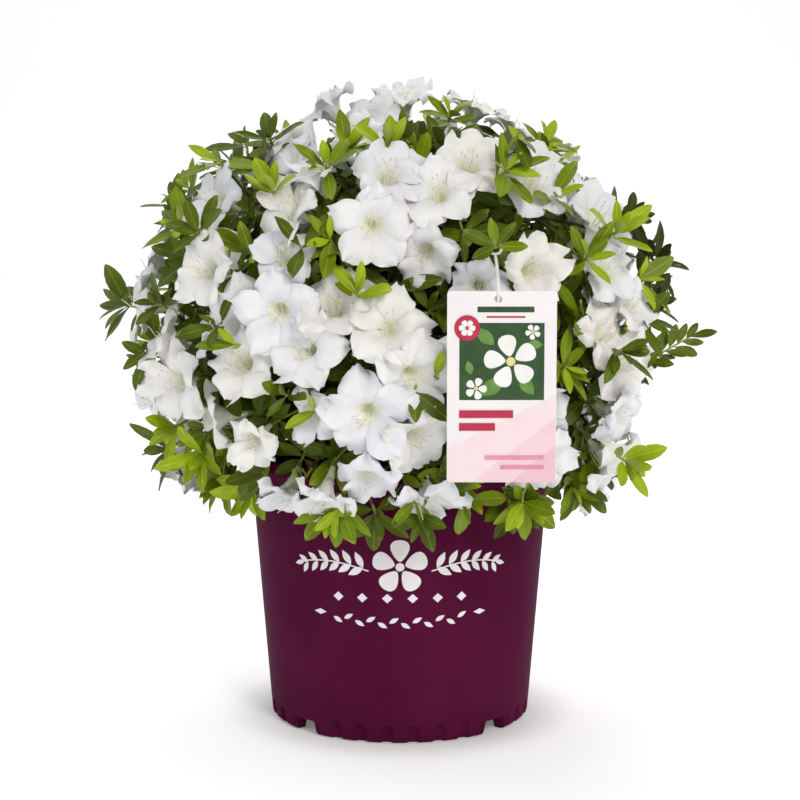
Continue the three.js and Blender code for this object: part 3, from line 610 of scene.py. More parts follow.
class Growth:
    """Everything that has grown so far, kind by kind."""

    def __init__(self):
        self.wood = []
        self.green = []
        self.leaves = {"shade": [], "mature": [], "mid": [], "young": []}
        self.blooms = {"cool": [], "clear": [], "warm": []}
        self.buds = []
        self.collars = []
        self.blossom_places = []
        self.blossom_tree = None

    def index_blossom(self):
        self.blossom_tree = kdtree.KDTree(len(self.blossom_places))
        for i, (foot, aim, radius) in enumerate(self.blossom_places):
            self.blossom_tree.insert(bloom_middle(foot, aim), i)
        self.blossom_tree.balance()

    def blooms_near(self, point):
        """For each bloom near a point: how far before its petals that is, how far aside, and its number."""
        for place, index, apart in self.blossom_tree.find_range(point, BLOSSOM_SEARCH):
            foot, aim, radius = self.blossom_places[index]
            ahead = (point - foot).dot(aim)
            beside = (point - foot - aim * ahead).length
            if beside < radius and ahead > -6:
                petals = PETAL_RISE + 5 * beside / radius
                if beside < THROAT_RADIUS:
                    petals = PETAL_RISE * beside / THROAT_RADIUS
                yield ahead - petals, beside, index

    def before_blossom(self, point, room):
        """Whether a point is inside a bloom, in its petals or right before it."""
        near = self.blooms_near(point)
        return any(-5 < before < 18 and beside < room for before, beside, index in near)

    def clear_of_blossom(self, points, front):
        """Whether a run of points crosses no petals, fills no throat, and covers a bloom only if allowed."""
        sides = {}
        for point in points:
            for before, beside, index in self.blooms_near(point):
                in_throat = 0 < before < 26 and beside < THROAT_RADIUS + 4
                if abs(before) < PETAL_CLEARANCE or in_throat:
                    return False
                if before > 0 and not front and beside < LEAF_BLOSSOM_ROOM:
                    return False
                if sides.setdefault(index, before > 0) != (before > 0):
                    return False
        return True

    def lift_off_blossom(self, point):
        """A point moved out before the petals of the blooms that it stands in."""
        for before, beside, index in list(self.blooms_near(point)):
            if -20 < before < WHORL_LIFT:
                point = point + self.blossom_places[index][1] * (WHORL_LIFT - before)
        return point


def shoot_path(start, end, aim, first, last):
    """A twig from its fork to its tip: straight to its middle, then bending into its aim."""
    middle = start.lerp(end, 0.5)
    run = end - middle
    bend = run.length
    points = [start.copy(), middle.copy()]
    for share in (0.25, 0.5, 0.75, 1):
        square, cube = share * share, share**3
        point = middle * (2 * cube - 3 * square + 1) + end * (3 * square - 2 * cube)
        point += run * (cube - 2 * square + share) + aim * bend * (cube - square)
        points.append(point)
    steps = len(points) - 1
    radii = [first + (last - first) * i / steps for i in range(steps + 1)]
    return Path(points, radii)


def add_twig(growth, start, end, aim):
    """The older half of a twig is woody and its newer half is green."""
    path = shoot_path(start, end, aim, TWIG_RADIUS * 0.72, SHOOT_RADIUS)
    growth.wood.append(Path(path.points[:3], path.radii[:3]))
    growth.green.append(Path(path.points[2:], path.radii[2:]))
    return path


def leaf_room(growth, foot, along, length, limit, front):
    run = [foot + along * length * share for share in (0.3, 0.55, 0.8, 1)]
    for point in run:
        if over_pot(point, 2) or near_label(point, LABEL_ROOM + 1):
            return False
        if outline_share(point) > limit or (limit < 2 and outline_share(point) > limit - edge_limit(point)):
            return False
    return growth.clear_of_blossom(run, front)


def add_leaf(growth, tone, foot, spoke, aim, opening, length, key, limit=LEAF_LIMIT, front=False):
    """Adds one leaf where it finds room, and tells whether it did. Leaves turn up and to the light."""
    along = (aim * math.cos(opening) + spoke * math.sin(opening) - UP * 0.06).normalized()
    if not leaf_room(growth, foot, along, length, limit, front):
        return False
    tilt = Vector((between(-0.4, 0.4, key, 63), between(-0.4, 0.4, key, 64), between(-0.3, 0.3, key, 65)))
    face = (aim * 0.8 + UP * 0.5 + SUNNY_SIDE * 0.4 + tilt).normalized()
    if abs(face.dot(along)) > 0.94:
        face = square_to(along)
    width = between(0.68, 1.02, key, 61)
    shape = int(chance(key, 62) * LEAF_SHAPES)
    growth.leaves[tone].append(Leaf(foot, along, face, length, length * width, shape))
    return True


def add_whorl(growth, tone, end, aim, key, count, tight, wide, size=1, **room):
    """A spiral of leaves at a tip: the newest upright in the middle, the oldest flat round them."""
    made = 0
    for k in range(count):
        age = k / max(1, count - 1)
        spoke = spoke_at(aim, GOLDEN_TURN * k + chance(key, 70) * 6)
        opening = tight + (wide - tight) * age + between(-0.14, 0.14, key, 71 + k)
        share = (0.66 + 0.42 * smooth(age, 0, 0.6)) * between(0.8, 1.16, key, 85 + k) * size
        foot = end - aim * (1 + 5 * age)
        leaf_tone = "young" if tone == "mid" and age < 0.3 else tone
        length = REAL_LEAF_LENGTH * share
        made += add_leaf(growth, leaf_tone, foot, spoke, aim, opening, length, key + 0.37 * k, **room)
    return made


def add_shoot_leaves(growth, tone, path, key, size, spacing=SHOOT_LEAF_SPACING, from_share=0.3, **room):
    """Single leaves down a shoot, a golden angle apart."""
    start, end = path.points[1], path.points[-1]
    count = int((end - start).length * 1.05 / spacing)
    for k in range(count):
        place = from_share + (0.95 - from_share) * k / max(1, count)
        spot = place * (len(path.points) - 2)
        index = min(len(path.points) - 3, int(spot))
        low, high = path.points[1 + index], path.points[2 + index]
        foot = low.lerp(high, spot - index)
        aim = (high - low).normalized()
        spoke = spoke_at(aim, GOLDEN_TURN * k + chance(key, 90) * 6)
        opening = between(0.75, 1.25, key, 91 + k)
        length = REAL_LEAF_LENGTH * size * between(0.8, 1.1, key, 121 + k)
        add_leaf(growth, tone, foot, spoke, aim, opening, length, key + 0.53 * k, **room)


def nod(foot, aim, share=BLOOM_NOD):
    """Blooms lean from straight up towards the side, and those near the pot's rim hang a little."""
    level = Vector((foot.x, foot.y - 40, 0))
    hang = 0.35 * (1 - smooth(foot.z, 230, 330))
    return (aim + level.normalized() * share * smooth(aim.z, 0, 0.8) - UP * hang).normalized()


def add_bloom(growth, foot, aim, radius, key):
    aim = nod(foot, aim)
    lean = spoke_at(aim, chance(key, 130) * 6) * 0.25
    up = UP + lean
    if abs(up.normalized().dot(aim)) > 0.95:
        up = Vector((0, 1, 0)) + lean
    tone = ("cool", "clear", "warm")[int(chance(key, 131) * 3)]
    shape = int(chance(key, 132) * BLOOM_SHAPES)
    growth.blooms[tone].append(Bloom(foot, aim, up.normalized(), radius, shape))
    growth.blossom_places.append((foot, aim, radius))


def bloom_middle(foot, aim):
    return foot + aim * BLOOM_LENGTH * 0.7


def drawn_in(foot, aim):
    """Blooms of the right flank sit deeper, so that leafy shoots make the outline there."""
    excess = bloom_middle(foot, aim).x - RIGHT_BLOOM_REACH
    return foot - Vector((excess, 0, 0)) if excess > 0 else foot


def sunk_in_hollow(foot):
    """A bloom's place, moved in where the crown has a hollow."""
    return CROWN_CENTRE + (foot - CROWN_CENTRE) * (1 - edge_limit(foot))


def stands_before(point, foot, aim, radius):
    """Whether a point stands right before the mouth of a bloom."""
    ahead = (point - foot).dot(aim)
    beside = (point - foot - aim * ahead).length
    return BLOOM_LENGTH * 0.8 < ahead < BLOOM_LENGTH * 2.2 and beside < radius * 0.75


def bloom_fits(growth, foot, aim, radius, spacing, spare=None):
    """Whether a bloom finds room beside the others, neither before one nor behind one."""
    aim = nod(foot, aim)
    if spare is not None:
        if any(near_label(point) or over_pot(point, spare) for point in bloom_rim(foot, aim, radius)):
            return False
    middle = bloom_middle(foot, aim)
    for place in growth.blossom_places:
        other = bloom_middle(place[0], place[1])
        if (other - middle).length < spacing:
            return False
        if stands_before(middle, *place) or stands_before(other, foot, aim, radius):
            return False
    return True


def add_bloom_partners(growth, shoot):
    """More blooms in the same truss, turned away from the first, wherever they find room."""
    near = TRUSS_KEYS <= shoot.key < LONG_SHOOT_KEYS
    wanted = chance(shoot.key, 142) * (TRUSS_PARTNERS - 1)
    partners = int(wanted + (1.15 if near else 1))
    for k in range(partners * 3):
        key = shoot.key + 0.21 * (k + 1)
        spoke = spoke_at(shoot.aim, chance(shoot.key, 140) * 6 + 2.2 * k)
        foot = shoot.end + spoke * TRUSS_SPREAD - shoot.aim * 8
        aim = (shoot.aim + spoke * between(0.5, 1.4, key, 141)).normalized()
        foot = drawn_in(foot, aim)
        radius = BLOOM_RADIUS * BLOOM_SWELL * between(0.86, 1, key, 50)
        reach = max(outline_share(point) for point in bloom_rim(foot, aim, radius))
        within = reach < 1.16 - edge_limit(foot)
        if partners and within and bloom_fits(growth, foot, aim, radius, BLOSSOM_SPACING, 3):
            add_bloom(growth, foot, aim, radius, key)
            growth.green.append(shoot_path(shoot.end - shoot.aim * 16, foot, aim, *STALK_RADII))
            partners -= 1


def tone_for(key, share):
    """Outer shoots are younger and brighter, inner ones older and darker."""
    draw = chance(key, 150)
    if draw < 0.06 + 0.24 * smooth(share, 0.8, 0.98):
        return "young"
    return "mid" if draw < 0.55 else "mature"


def grow_crown(masses):
    growth = Growth()
    shoots = []
    for tip in lay_out_tips():
        if is_outside(tip.end, 6):
            nearest_mass(tip.end, masses).tips.append(tip)
    for mass in masses:
        for tip in sorted(mass.tips, key=lambda t: (t.end - mass.site).length):
            shoot = grow_tip(tip, mass)
            if shoot and shoot.bloom:
                shoot = shoot._replace(end=drawn_in(sunk_in_hollow(shoot.end), shoot.aim))
            if shoot:
                shoots.append((shoot, mass))
    for shoot, mass in shoots:
        radius = shoot.radius * BLOOM_SWELL
        if shoot.bloom and bloom_fits(growth, shoot.end, shoot.aim, radius, OWN_BLOOM_SPACING):
            add_bloom(growth, shoot.end, shoot.aim, radius, shoot.key)
    for shoot, mass in shoots:
        if shoot.bloom:
            add_bloom_partners(growth, shoot)
    grow_near_blooms(growth, masses)
    grow_far_blooms(growth, masses)
    growth.index_blossom()
    for shoot, mass in shoots:
        dress_shoot(growth, shoot)
    for foot, aim, key in growth.collars:
        add_whorl(growth, "mature", foot, aim, key, COLLAR_LEAVES, 1, 1.6)
    grow_label_twig(growth, nearest_mass(RING_CENTRE, masses))
    grow_near_side(growth, masses)
    grow_fillers(growth, masses, [shoot.end for shoot, mass in shoots])
    grow_skirt(growth, masses)
    for mass in masses:
        growth.wood.append(Path([mass.entry, mass.site], [BOUGH_END_RADIUS, TWIG_RADIUS]))
    return growth


def dress_shoot(growth, shoot):
    key = shoot.key
    path = add_twig(growth, shoot.start, shoot.end, shoot.aim)
    tone = tone_for(key, 0.93)
    if shoot.bloom:
        foot = shoot.end - shoot.aim * COLLAR_BEHIND
        add_whorl(growth, "mature", foot, shoot.aim, key, COLLAR_LEAVES, 1.1, 1.6)
        if chance(key, 160) < 0.3:
            add_bud(growth, shoot.end, shoot.aim, key)
        return
    if key == LATE_SHOOT_KEY:
        add_late_shoot(growth, shoot.end, key)
        return
    # Long shoots far out on the flanks are darker: on the right, half take the darkest tone, which is painted
    # shadow, and the rest are mature
    if shoot.long and abs(shoot.end.x) > DARK_SHOOTS_FROM:
        tone = "shade" if shoot.end.x > 0 and chance(key, 162) < 0.5 else "mature"
    room = {"limit": 2, "front": True} if shoot.long else {}
    tight, wide = (0.3, 1.15) if tone == "young" else (0.45, 1.4)
    leaves = WHORL_LEAVES + int(chance(key, 161) * 3)
    add_whorl(growth, tone, shoot.end, shoot.aim, key, leaves, tight, wide, **room)
    add_shoot_leaves(growth, tone, path, key, 0.8, **room)


def add_late_shoot(growth, end, key):
    """A slender shoot that stands out on its own, with small leaves in pairs."""
    heading = Vector((0.86, 0.0, 0.51)).normalized()
    beside = heading.cross(SUNNY_SIDE).normalized()
    start = end - heading * LATE_SHOOT_LENGTH * 0.78
    tip = end + heading * LATE_SHOOT_LENGTH * 0.22
    growth.green.append(Path([start, start.lerp(tip, 0.5) + UP * 1.5, tip], [1.5, 1.2, 0.8]))
    for k in range(LATE_LEAVES):
        place = (k + 1) / LATE_LEAVES
        foot = start.lerp(tip, place) + UP * 3 * place * (1 - place)
        side = beside if k % 2 else -beside
        trait = 180 + 4 * k
        opening = between(0.6, 1.15, key, trait) * (1 - 0.55 * smooth(place, 0.8, 1))
        lean = SUNNY_SIDE * between(-0.5, 0.6, key, trait + 1)
        along = (heading * math.cos(opening) + (side + lean).normalized() * math.sin(opening)).normalized()
        face = (SUNNY_SIDE + UP * between(0.1, 0.8, key, trait + 2) + lean * 0.4).normalized()
        length = REAL_LEAF_LENGTH * between(0.5, 0.72, key, trait + 3)
        # The lower leaves take the darkest tone, painted shadow, and the upper ones are mature
        tone = "mature" if place > 0.6 else "shade"
        growth.leaves[tone].append(Leaf(foot, along, face, length, length * 0.95, k % LEAF_SHAPES))


def add_bud(growth, end, outward, key):
    spoke = spoke_at(outward, chance(key, 170) * 6)
    aim = (outward * 0.9 + spoke * 0.75).normalized()
    foot = end + spoke * 12 - outward * 4
    size = BUD_LENGTH * between(0.75, 1.1, key, 171)
    growth.buds.append(Bloom(foot, aim, square_to(aim), size, 0))
    growth.green.append(shoot_path(end - outward * 12, foot, aim, *STALK_RADII))


def grow_near_blooms(growth, masses):
    """More blooms of the near side's clusters, many of them hanging over the pot's rim."""
    for i, (across, up) in enumerate(NEAR_BLOOMS):
        key = NEAR_BLOOM_KEYS + i
        foot = near_side_point(across, up, NEAR_BLOOM_SHARE)
        hang = UP * 0.4 * (1 - smooth(up, 250, 320))
        side = Vector((between(-0.5, 0.5, key, 1), 0, between(-0.1, 0.4, key, 2)))
        aim = (outward_at(foot) + side - hang).normalized()
        foot = drawn_in(sunk_in_hollow(foot), aim)
        radius = BLOOM_RADIUS * between(0.92, 1.08, key, 3)
        if bloom_fits(growth, foot, aim, radius, NEAR_BLOOM_SPACING, 1):
            add_bloom_on_twig(growth, masses, foot, aim, radius, key)


def add_side_twig(growth, masses, end, aim):
    return add_twig(growth, best_fork(end, nearest_mass(end, masses)), end, aim)


def add_bloom_on_twig(growth, masses, foot, aim, radius, key):
    add_bloom(growth, foot, aim, radius, key)
    add_side_twig(growth, masses, foot, aim)
    growth.collars.append((foot - aim * COLLAR_BEHIND, aim, key))


def grow_far_blooms(growth, masses):
    """More blooms round the sides and the back, where the solids have only a few."""
    for i in range(FAR_BLOOM_TRIES):
        key = FAR_BLOOM_KEYS + i
        elevation = math.asin(between(-0.6, 0.95, key, 4))
        direction = bearing_vector(GOLDEN_TURN * i, elevation)
        foot = at_share(direction, between(0.8, 0.92, key, 1))
        if direction.y < -0.3 or edge_limit(foot) > 0.08:
            continue
        tilt = spoke_at(direction, chance(key, 2) * 6) * between(0.1, 0.6, key, 5)
        aim = (direction + tilt).normalized()
        foot = drawn_in(foot, aim)
        radius = BLOOM_RADIUS * between(0.9, 1.1, key, 3)
        if bloom_fits(growth, foot, aim, radius, FAR_BLOOM_SPACING, 3):
            add_bloom_on_twig(growth, masses, foot, aim, radius, key)


def grow_near_side(growth, masses):
    """The whorls and buds that stand out before the blossom on the near side."""
    for i, (across, up, tone) in enumerate(NEAR_WHORLS):
        key = WHORL_KEYS + i
        end = growth.lift_off_blossom(near_side_point(across, up, WHORL_SHARE))
        if near_label(end, 12) or over_pot(end, 6):
            continue
        outward = outward_at(end)
        rise = 0.8 if tone == "young" else 0.25
        aim = (outward + UP * rise * smooth(end.z, 240, 330) + SUNNY_SIDE * 0.3).normalized()
        path = add_side_twig(growth, masses, end, aim)
        tight, wide = (0.25, 1.1) if tone == "young" else (0.6, 1.45)
        room = {"limit": WHORL_LIMIT, "front": True}
        size = between(0.85, 1, key, 9)
        add_whorl(growth, tone, end, aim, key, OUTER_LEAVES, tight, wide, size, **room)
        add_shoot_leaves(growth, tone, path, key, 0.75, from_share=0.55, **room)
    for i, (across, up) in enumerate(NEAR_BUDS):
        end = near_side_point(across, up, BUD_SHARE)
        outward = outward_at(end)
        add_bud(growth, end, (outward + UP * 0.4).normalized(), BUD_KEYS + i)


def grow_label_twig(growth, mass):
    """The twig that carries the label's ring, with leaves beyond it."""
    aim = Vector((0, -1, 0))

    def along(ahead):
        return RING_CENTRE + Vector((0, -ahead, RING_CATCH))

    middle = mass.site.lerp(along(-16), 0.5)
    end = along(LABEL_TWIG_BEYOND)
    radii = [TWIG_RADIUS] * 3 + [TWIG_RADIUS * 0.9, 1.4]
    growth.green.append(Path([mass.site, middle, along(-16), along(0), end], radii))
    for k in range(LABEL_TWIG_LEAVES):
        spoke = spoke_at(aim, 2 * math.pi * (k + 0.5) / LABEL_TWIG_LEAVES)
        if spoke.z > -0.6:
            leaf_along = (spoke + aim * between(0.25, 0.8, k, 9)).normalized()
            length = REAL_LEAF_LENGTH * between(0.66, 0.95, k, 8)
            tone = ("mature", "mid")[k % 2]
            growth.leaves[tone].append(Leaf(end, leaf_along, aim, length, length * 0.86, k))


def grow_fillers(growth, masses, ends):
    """Leafy side shoots between the tips of the solids, and darker ones further in, whose darker tone is
    painted shadow deep in the crown.
    """
    taken = [end.copy() for end in ends]
    taken += [near_side_point(across, up, WHORL_SHARE) for across, up, tone in NEAR_WHORLS]
    outer = (FILLER_TIPS, 0.78, 1.12, FILLER_KEYS)
    for count, near, far, first in (outer, (INNER_TIPS, 0.5, 0.74, INNER_KEYS)):
        inner = first == INNER_KEYS
        for i in range(count):
            key = first + i
            height = 1 - 2 * (i + 0.5) / count
            elevation = math.asin(height) + between(-0.06, 0.06, key, 1)
            bearing = GOLDEN_TURN * i + between(-0.2, 0.2, key, 2)
            patch = 0.5 + 0.25 * (math.sin(3.1 * bearing + 2) + math.sin(5.3 * elevation + 2 * bearing))
            share = between(near, far - UNEVEN_REACH * patch, key, 3)
            share -= edge_limit(at_share(bearing_vector(bearing, elevation), 1))
            end = at_share(bearing_vector(bearing, elevation), share)
            if over_pot(end, 8) or near_label(end, 14):
                continue
            if growth.before_blossom(end, BLOSSOM_ROOM):
                end = at_share(bearing_vector(bearing, elevation), share - 0.15)
                if growth.before_blossom(end, 16) or outline_share(end) < HOLLOW_SHARE:
                    continue
            if not inner and any((other - end).length < FILLER_ROOM for other in taken):
                continue
            taken.append(end)
            mass = nearest_mass(end, masses)
            start = best_fork(end, mass)
            outward = outward_at(end)
            aim = ((end - start).normalized().lerp(outward, 0.55) + UP * 0.2).normalized()
            mass.joints.append(start.lerp(end, 0.5))
            path = add_twig(growth, start, end, aim)
            # Shoots deep inside take the darkest tone, which paints the shadow there
            tone = "shade" if inner else tone_for(key, share)
            if not inner and share < 0.84 and tone == "young":
                tone = "mid"
            leaves = FILLER_LEAVES + int(chance(key, 161) * 3)
            add_whorl(growth, tone, end, aim, key, leaves, 0.4, 1.4)
            add_shoot_leaves(growth, "mature" if tone == "young" else tone, path, key, 0.9)


def grow_skirt(growth, masses):
    """Low shoots that lean out over the rim and let their leaves hang past it."""
    for i in range(SKIRT_SHOOTS):
        key = SKIRT_SHOOT_KEYS + i
        bearing = 2 * math.pi * (i + between(-0.3, 0.3, key, 1)) / SKIRT_SHOOTS
        out = bearing_vector(bearing, 0)
        end = out * between(156, 178, key, 2)
        end.z = between(214, 250, key, 3)
        front = out.y < -0.4 and chance(key, 6) > RIM_SHARE
        if front or near_label(end, 24) or growth.before_blossom(end, 26):
            continue
        mass = nearest_mass(end, masses)
        start = best_fork(end + UP * 60, mass)
        aim = (out + UP * between(-0.75, 0.1, key, 4)).normalized()
        tone = ("young", "mid", "mid", "mature", "mature")[int(chance(key, 5) * 5)]
        if add_whorl(growth, tone, end, aim, key, OUTER_LEAVES, 0.3, 1.3) == 0:
            continue
        rise = out * 160 + UP * (POT_HEIGHT + 14)
        growth.wood.append(Path([start, start.lerp(rise, 0.5) + UP * 8, rise], [1.6, 1.5, 1.3]))
        path = shoot_path(rise, end, aim, 1.3, 1)
        growth.green.append(path)
        add_shoot_leaves(growth, tone, path, key, 0.8)


# Meshes


def new_object(mesh):
    obj = bpy.data.objects.new(mesh.name, mesh)
    bpy.context.scene.collection.objects.link(obj)
    return obj


def mesh_from(name, points, faces, finishes=None):
    """A smooth mesh from points in millimetres, with a finish number for each face."""
    mesh = bpy.data.meshes.new(name)
    mesh.from_pydata([tuple(p) for p in points], [], faces)
    mesh.transform(scale_matrix(MM))
    if finishes:
        attribute = mesh.attributes.new("finish", "INT", "FACE")
        attribute.data.foreach_set("value", finishes)
    mesh.shade_smooth()
    mesh.set_sharp_from_angle(angle=SHEET_BORDER_ANGLE)
    return mesh


def scale_matrix(share):
    matrix = Quaternion().to_matrix().to_4x4() * share
    matrix[3][3] = 1
    return matrix


def close_sheet(rows, strips, place, lower):
    """A thin closed sheet of rows by strips: an upper and a lower side that share their border."""
    points, faces = [], []
    upper_index, lower_index = {}, {}
    for i in range(rows + 1):
        for j in range(strips + 1):
            upper_index[i, j] = len(points)
            points.append(place(i / rows, 2 * j / strips - 1))
    for (i, j), index in upper_index.items():
        lower_index[i, j] = index
        if 0 < i < rows and 0 < j < strips:
            lower_index[i, j] = len(points)
            points.append(lower(i / rows, 2 * j / strips - 1))
    for i in range(rows):
        for j in range(strips):
            corners = ((i, j), (i, j + 1), (i + 1, j + 1), (i + 1, j))
            faces.append([upper_index[c] for c in corners])
            faces.append([lower_index[c] for c in reversed(corners)])
    return points, faces


def petal_sheet(petal, shape):
    """One lobe of the corolla: part of the funnel below, then a round ruffled tip over its neighbours."""
    key = 300 + shape * 7 + petal * 0.71
    flare = BLOOM_FLARES[shape]
    radius = BLOOM_RADIUS * flare * between(0.92, 1.1, key, 1)
    widest = PETAL_HALF_WIDTH * BLOOM_RADIUS * (0.4 + 0.6 * flare) * between(0.9, 1.12, key, 11)
    depth = BLOOM_LENGTH * (1.5 - 0.5 * flare)
    curl = between(-2, 4.5, key, 2)
    ruffle = between(1.9, 3.7, key, 3)
    phases = [chance(key, 4 + k) * 6.28 for k in range(4)]
    droop = between(0.02, 0.36, 300 + shape, 8) * flare + between(-0.24, 0.3, key, 9)
    bearing = 2 * math.pi * petal / PLACES + between(-0.07, 0.07, key, 10)
    knots = [(1.7, 0), (4.2, 0.62 * depth), (0.46 * radius, 1.12 * depth), (radius, (1 - droop) * depth)]
    over_next = 1 if chance(shape, 400 + petal) < 0.5 else -1
    over_last = -1 if chance(shape, 400 + (petal - 1) % PLACES) < 0.5 else 1

    def profile(u):
        weights = ((1 - u) ** 3, 3 * u * (1 - u) ** 2, 3 * u * u * (1 - u), u**3)
        return [sum(w * knot[axis] for w, knot in zip(weights, knots)) for axis in (0, 1)]

    def half_width(u, out):
        if u < FUNNEL_SHARE:
            return out * 0.65
        joined = profile(FUNNEL_SHARE)[0] * 0.65
        share = (u - FUNNEL_SHARE) / (1 - FUNNEL_SHARE)
        grown = joined + (widest - joined) * smooth(share, -0.2, 0.5)
        return grown * (1 - (max(0, share - 0.42) / 0.63) ** 2.4) ** 0.5

    def place(u, v, thickness=0):
        reach = u - 0.05 * abs(v) ** 2.3 * u**3 + 0.009 * math.cos(v * 9 + phases[3]) * u**6
        out, up = profile(reach)
        ahead = profile(min(1, reach + 0.01))
        behind = profile(max(0, reach - 0.01))
        slope = Vector((ahead[0] - behind[0], 0, ahead[1] - behind[1])).normalized()
        normal = Vector((-slope.z, 0, slope.x))
        edge = smooth(u, FUNNEL_SHARE, 0.85)
        side = phases[0 if v > 0 else 1]
        wave = abs(v) ** 1.8 * (math.sin(10 * u + side) + 0.5 * math.sin(23 * u + 2 * side)) * edge
        wave += 0.8 * smooth(u, 0.74, 1) * (math.sin(5.5 * v + phases[2]) + 0.4 * math.sin(13 * v + side))
        wave += 0.9 * edge * math.sin(3.1 * v + 5.5 * u + phases[3])
        lift = ruffle * wave - curl * v * v * edge * (1 - 0.7 * smooth(u, 0.7, 1))
        lift += 0.75 * (over_next * max(v, 0) + over_last * max(-v, 0)) * smooth(u, 0.3, 0.6)
        lift -= 1.1 * math.exp(-((v * 4) ** 2)) * smooth(u, 0.2, 0.55)
        lift += 0.4 * math.cos(v * 10 + phases[1]) * smooth(u, 0.3, 0.65) * (1 - 0.5 * u) + thickness
        across = v * half_width(u, max(out, 1))
        point = Vector((out, 0, up)) + normal * lift
        rolled = Quaternion(UP, across / max(out, 1)) @ point
        spread = point + Vector((0, across, 0))
        return Quaternion(UP, bearing) @ rolled.lerp(spread, smooth(u, FUNNEL_SHARE - 0.1, 0.72))

    points, faces = close_sheet(PETAL_ROWS, PETAL_STRIPS, place, lambda u, v: place(u, v, 0.45))
    rows = [i // (2 * PETAL_STRIPS) for i in range(len(faces))]
    finishes = [THROAT if row < THROAT_ROWS else PETAL_BASE if row < BASE_ROWS else PETAL for row in rows]
    return points, faces, finishes, place


def skin_faces(sides, rows):
    """The faces of a closed skin: a point, rows of sides, and a point at the other end."""
    faces = []
    top, last = 1 + (rows - 1) * sides, 1 + rows * sides
    for k in range(sides):
        n = (k + 1) % sides
        faces.append([0, 1 + n, 1 + k])
        for i in range(rows - 1):
            low, high = 1 + i * sides, 1 + (i + 1) * sides
            faces.append([low + k, low + n, high + n, high + k])
        faces.append([top + k, top + n, last])
    return faces


def tube(path, sides, finish):
    """A closed tube along a path, with its ends drawn in to points."""
    points = [path.points[0]]
    for i, centre in enumerate(path.points):
        before = path.points[max(0, i - 1)]
        after = path.points[min(len(path.points) - 1, i + 1)]
        along = (after - before).normalized()
        side = along.cross(Vector((0.3, 0.2, 0.9))).normalized()
        for k in range(sides):
            spoke = Quaternion(along, 2 * math.pi * k / sides) @ side
            points.append(centre + spoke * path.radii[i])
    points.append(path.points[-1])
    faces = skin_faces(sides, len(path.points))
    return points, faces, [finish] * len(faces)


def join_parts(parts):
    """Joins (points, faces, finishes) lists into one."""
    points, faces, finishes = [], [], []
    for part_points, part_faces, part_finishes in parts:
        start = len(points)
        points += part_points
        faces += [[start + i for i in face] for face in part_faces]
        finishes += part_finishes
    return points, faces, finishes


def bloom_mesh(shape):
    """A whole bloom: five lobes, freckles on the top one, stamens, style and calyx. It opens along +Z."""
    parts = []
    for petal in range(PLACES):
        points, faces, finishes, place = petal_sheet(petal, shape)
        parts.append((points, faces, finishes))
        if petal:
            continue
        for k in range(FRECKLES):
            u = between(0.36, 0.72, shape, 200 + k)
            v = between(-0.5, 0.5, shape, 220 + k)
            size = between(0.28, 0.5, shape, 240 + k)
            ahead, aside = size / 36, size / 15
            spots = [(u + ahead, v), (u, v + aside), (u - ahead, v), (u, v - aside)]
            dot = [place(u, v, -0.32), *[place(*spot, -0.12) for spot in spots], place(u, v, 0.2)]
            parts.append((dot, FRECKLE_FACES, [FRECKLE] * 8))
    for k in range(STAMENS + 1):
        style = k == STAMENS
        key = shape + 0.13 * k
        spread = spoke_at(UP, 2 * math.pi * k / STAMENS + chance(key, 11)) * between(3.5, 8, key, 12)
        reach = BLOOM_LENGTH * (1.22 if style else between(0.86, 1.08, key, 13))
        bow = Vector((-7, 0, 0))
        points = []
        for share in (0, 0.3, 0.6, 0.85, 1):
            rise = UP * reach * share + spread * share
            points.append(rise + bow * math.sin(share * 3.0) + Vector((3.5 * share**3, 0, 0)))
        radius = 0.42 if style else 0.3
        parts.append(tube(Path(points, [radius] * 5), 3, FILAMENT))
        top = points[-1]
        knob = Path([top, top + Vector((0.6, 0.3, 1.1)), top + Vector((1, 0.5, 2.2))], [0.22, 0.45, 0.22])
        parts.append(tube(knob, 4, FILAMENT if style else ANTHER))
    mouth = BLOOM_LENGTH * (1.5 - 0.5 * BLOOM_FLARES[shape])
    ring = [spoke_at(UP, 2 * math.pi * k / 10) * 5.2 + UP * mouth * 0.4 for k in range(10)]
    plug = [UP * mouth * 0.1, *ring, UP * mouth * 0.18]
    sides = [[0, 1 + (k + 1) % 10, 1 + k] for k in range(10)]
    sides += [[11, 1 + k, 1 + (k + 1) % 10] for k in range(10)]
    parts.append((plug, sides, [THROAT] * len(sides)))
    cup = Path([UP * height for height in (-7, -3, 0, 2.5)], [1, 1.5, 2.3, 2.6])
    parts.append(tube(cup, 6, CALYX))
    return join_parts(parts)


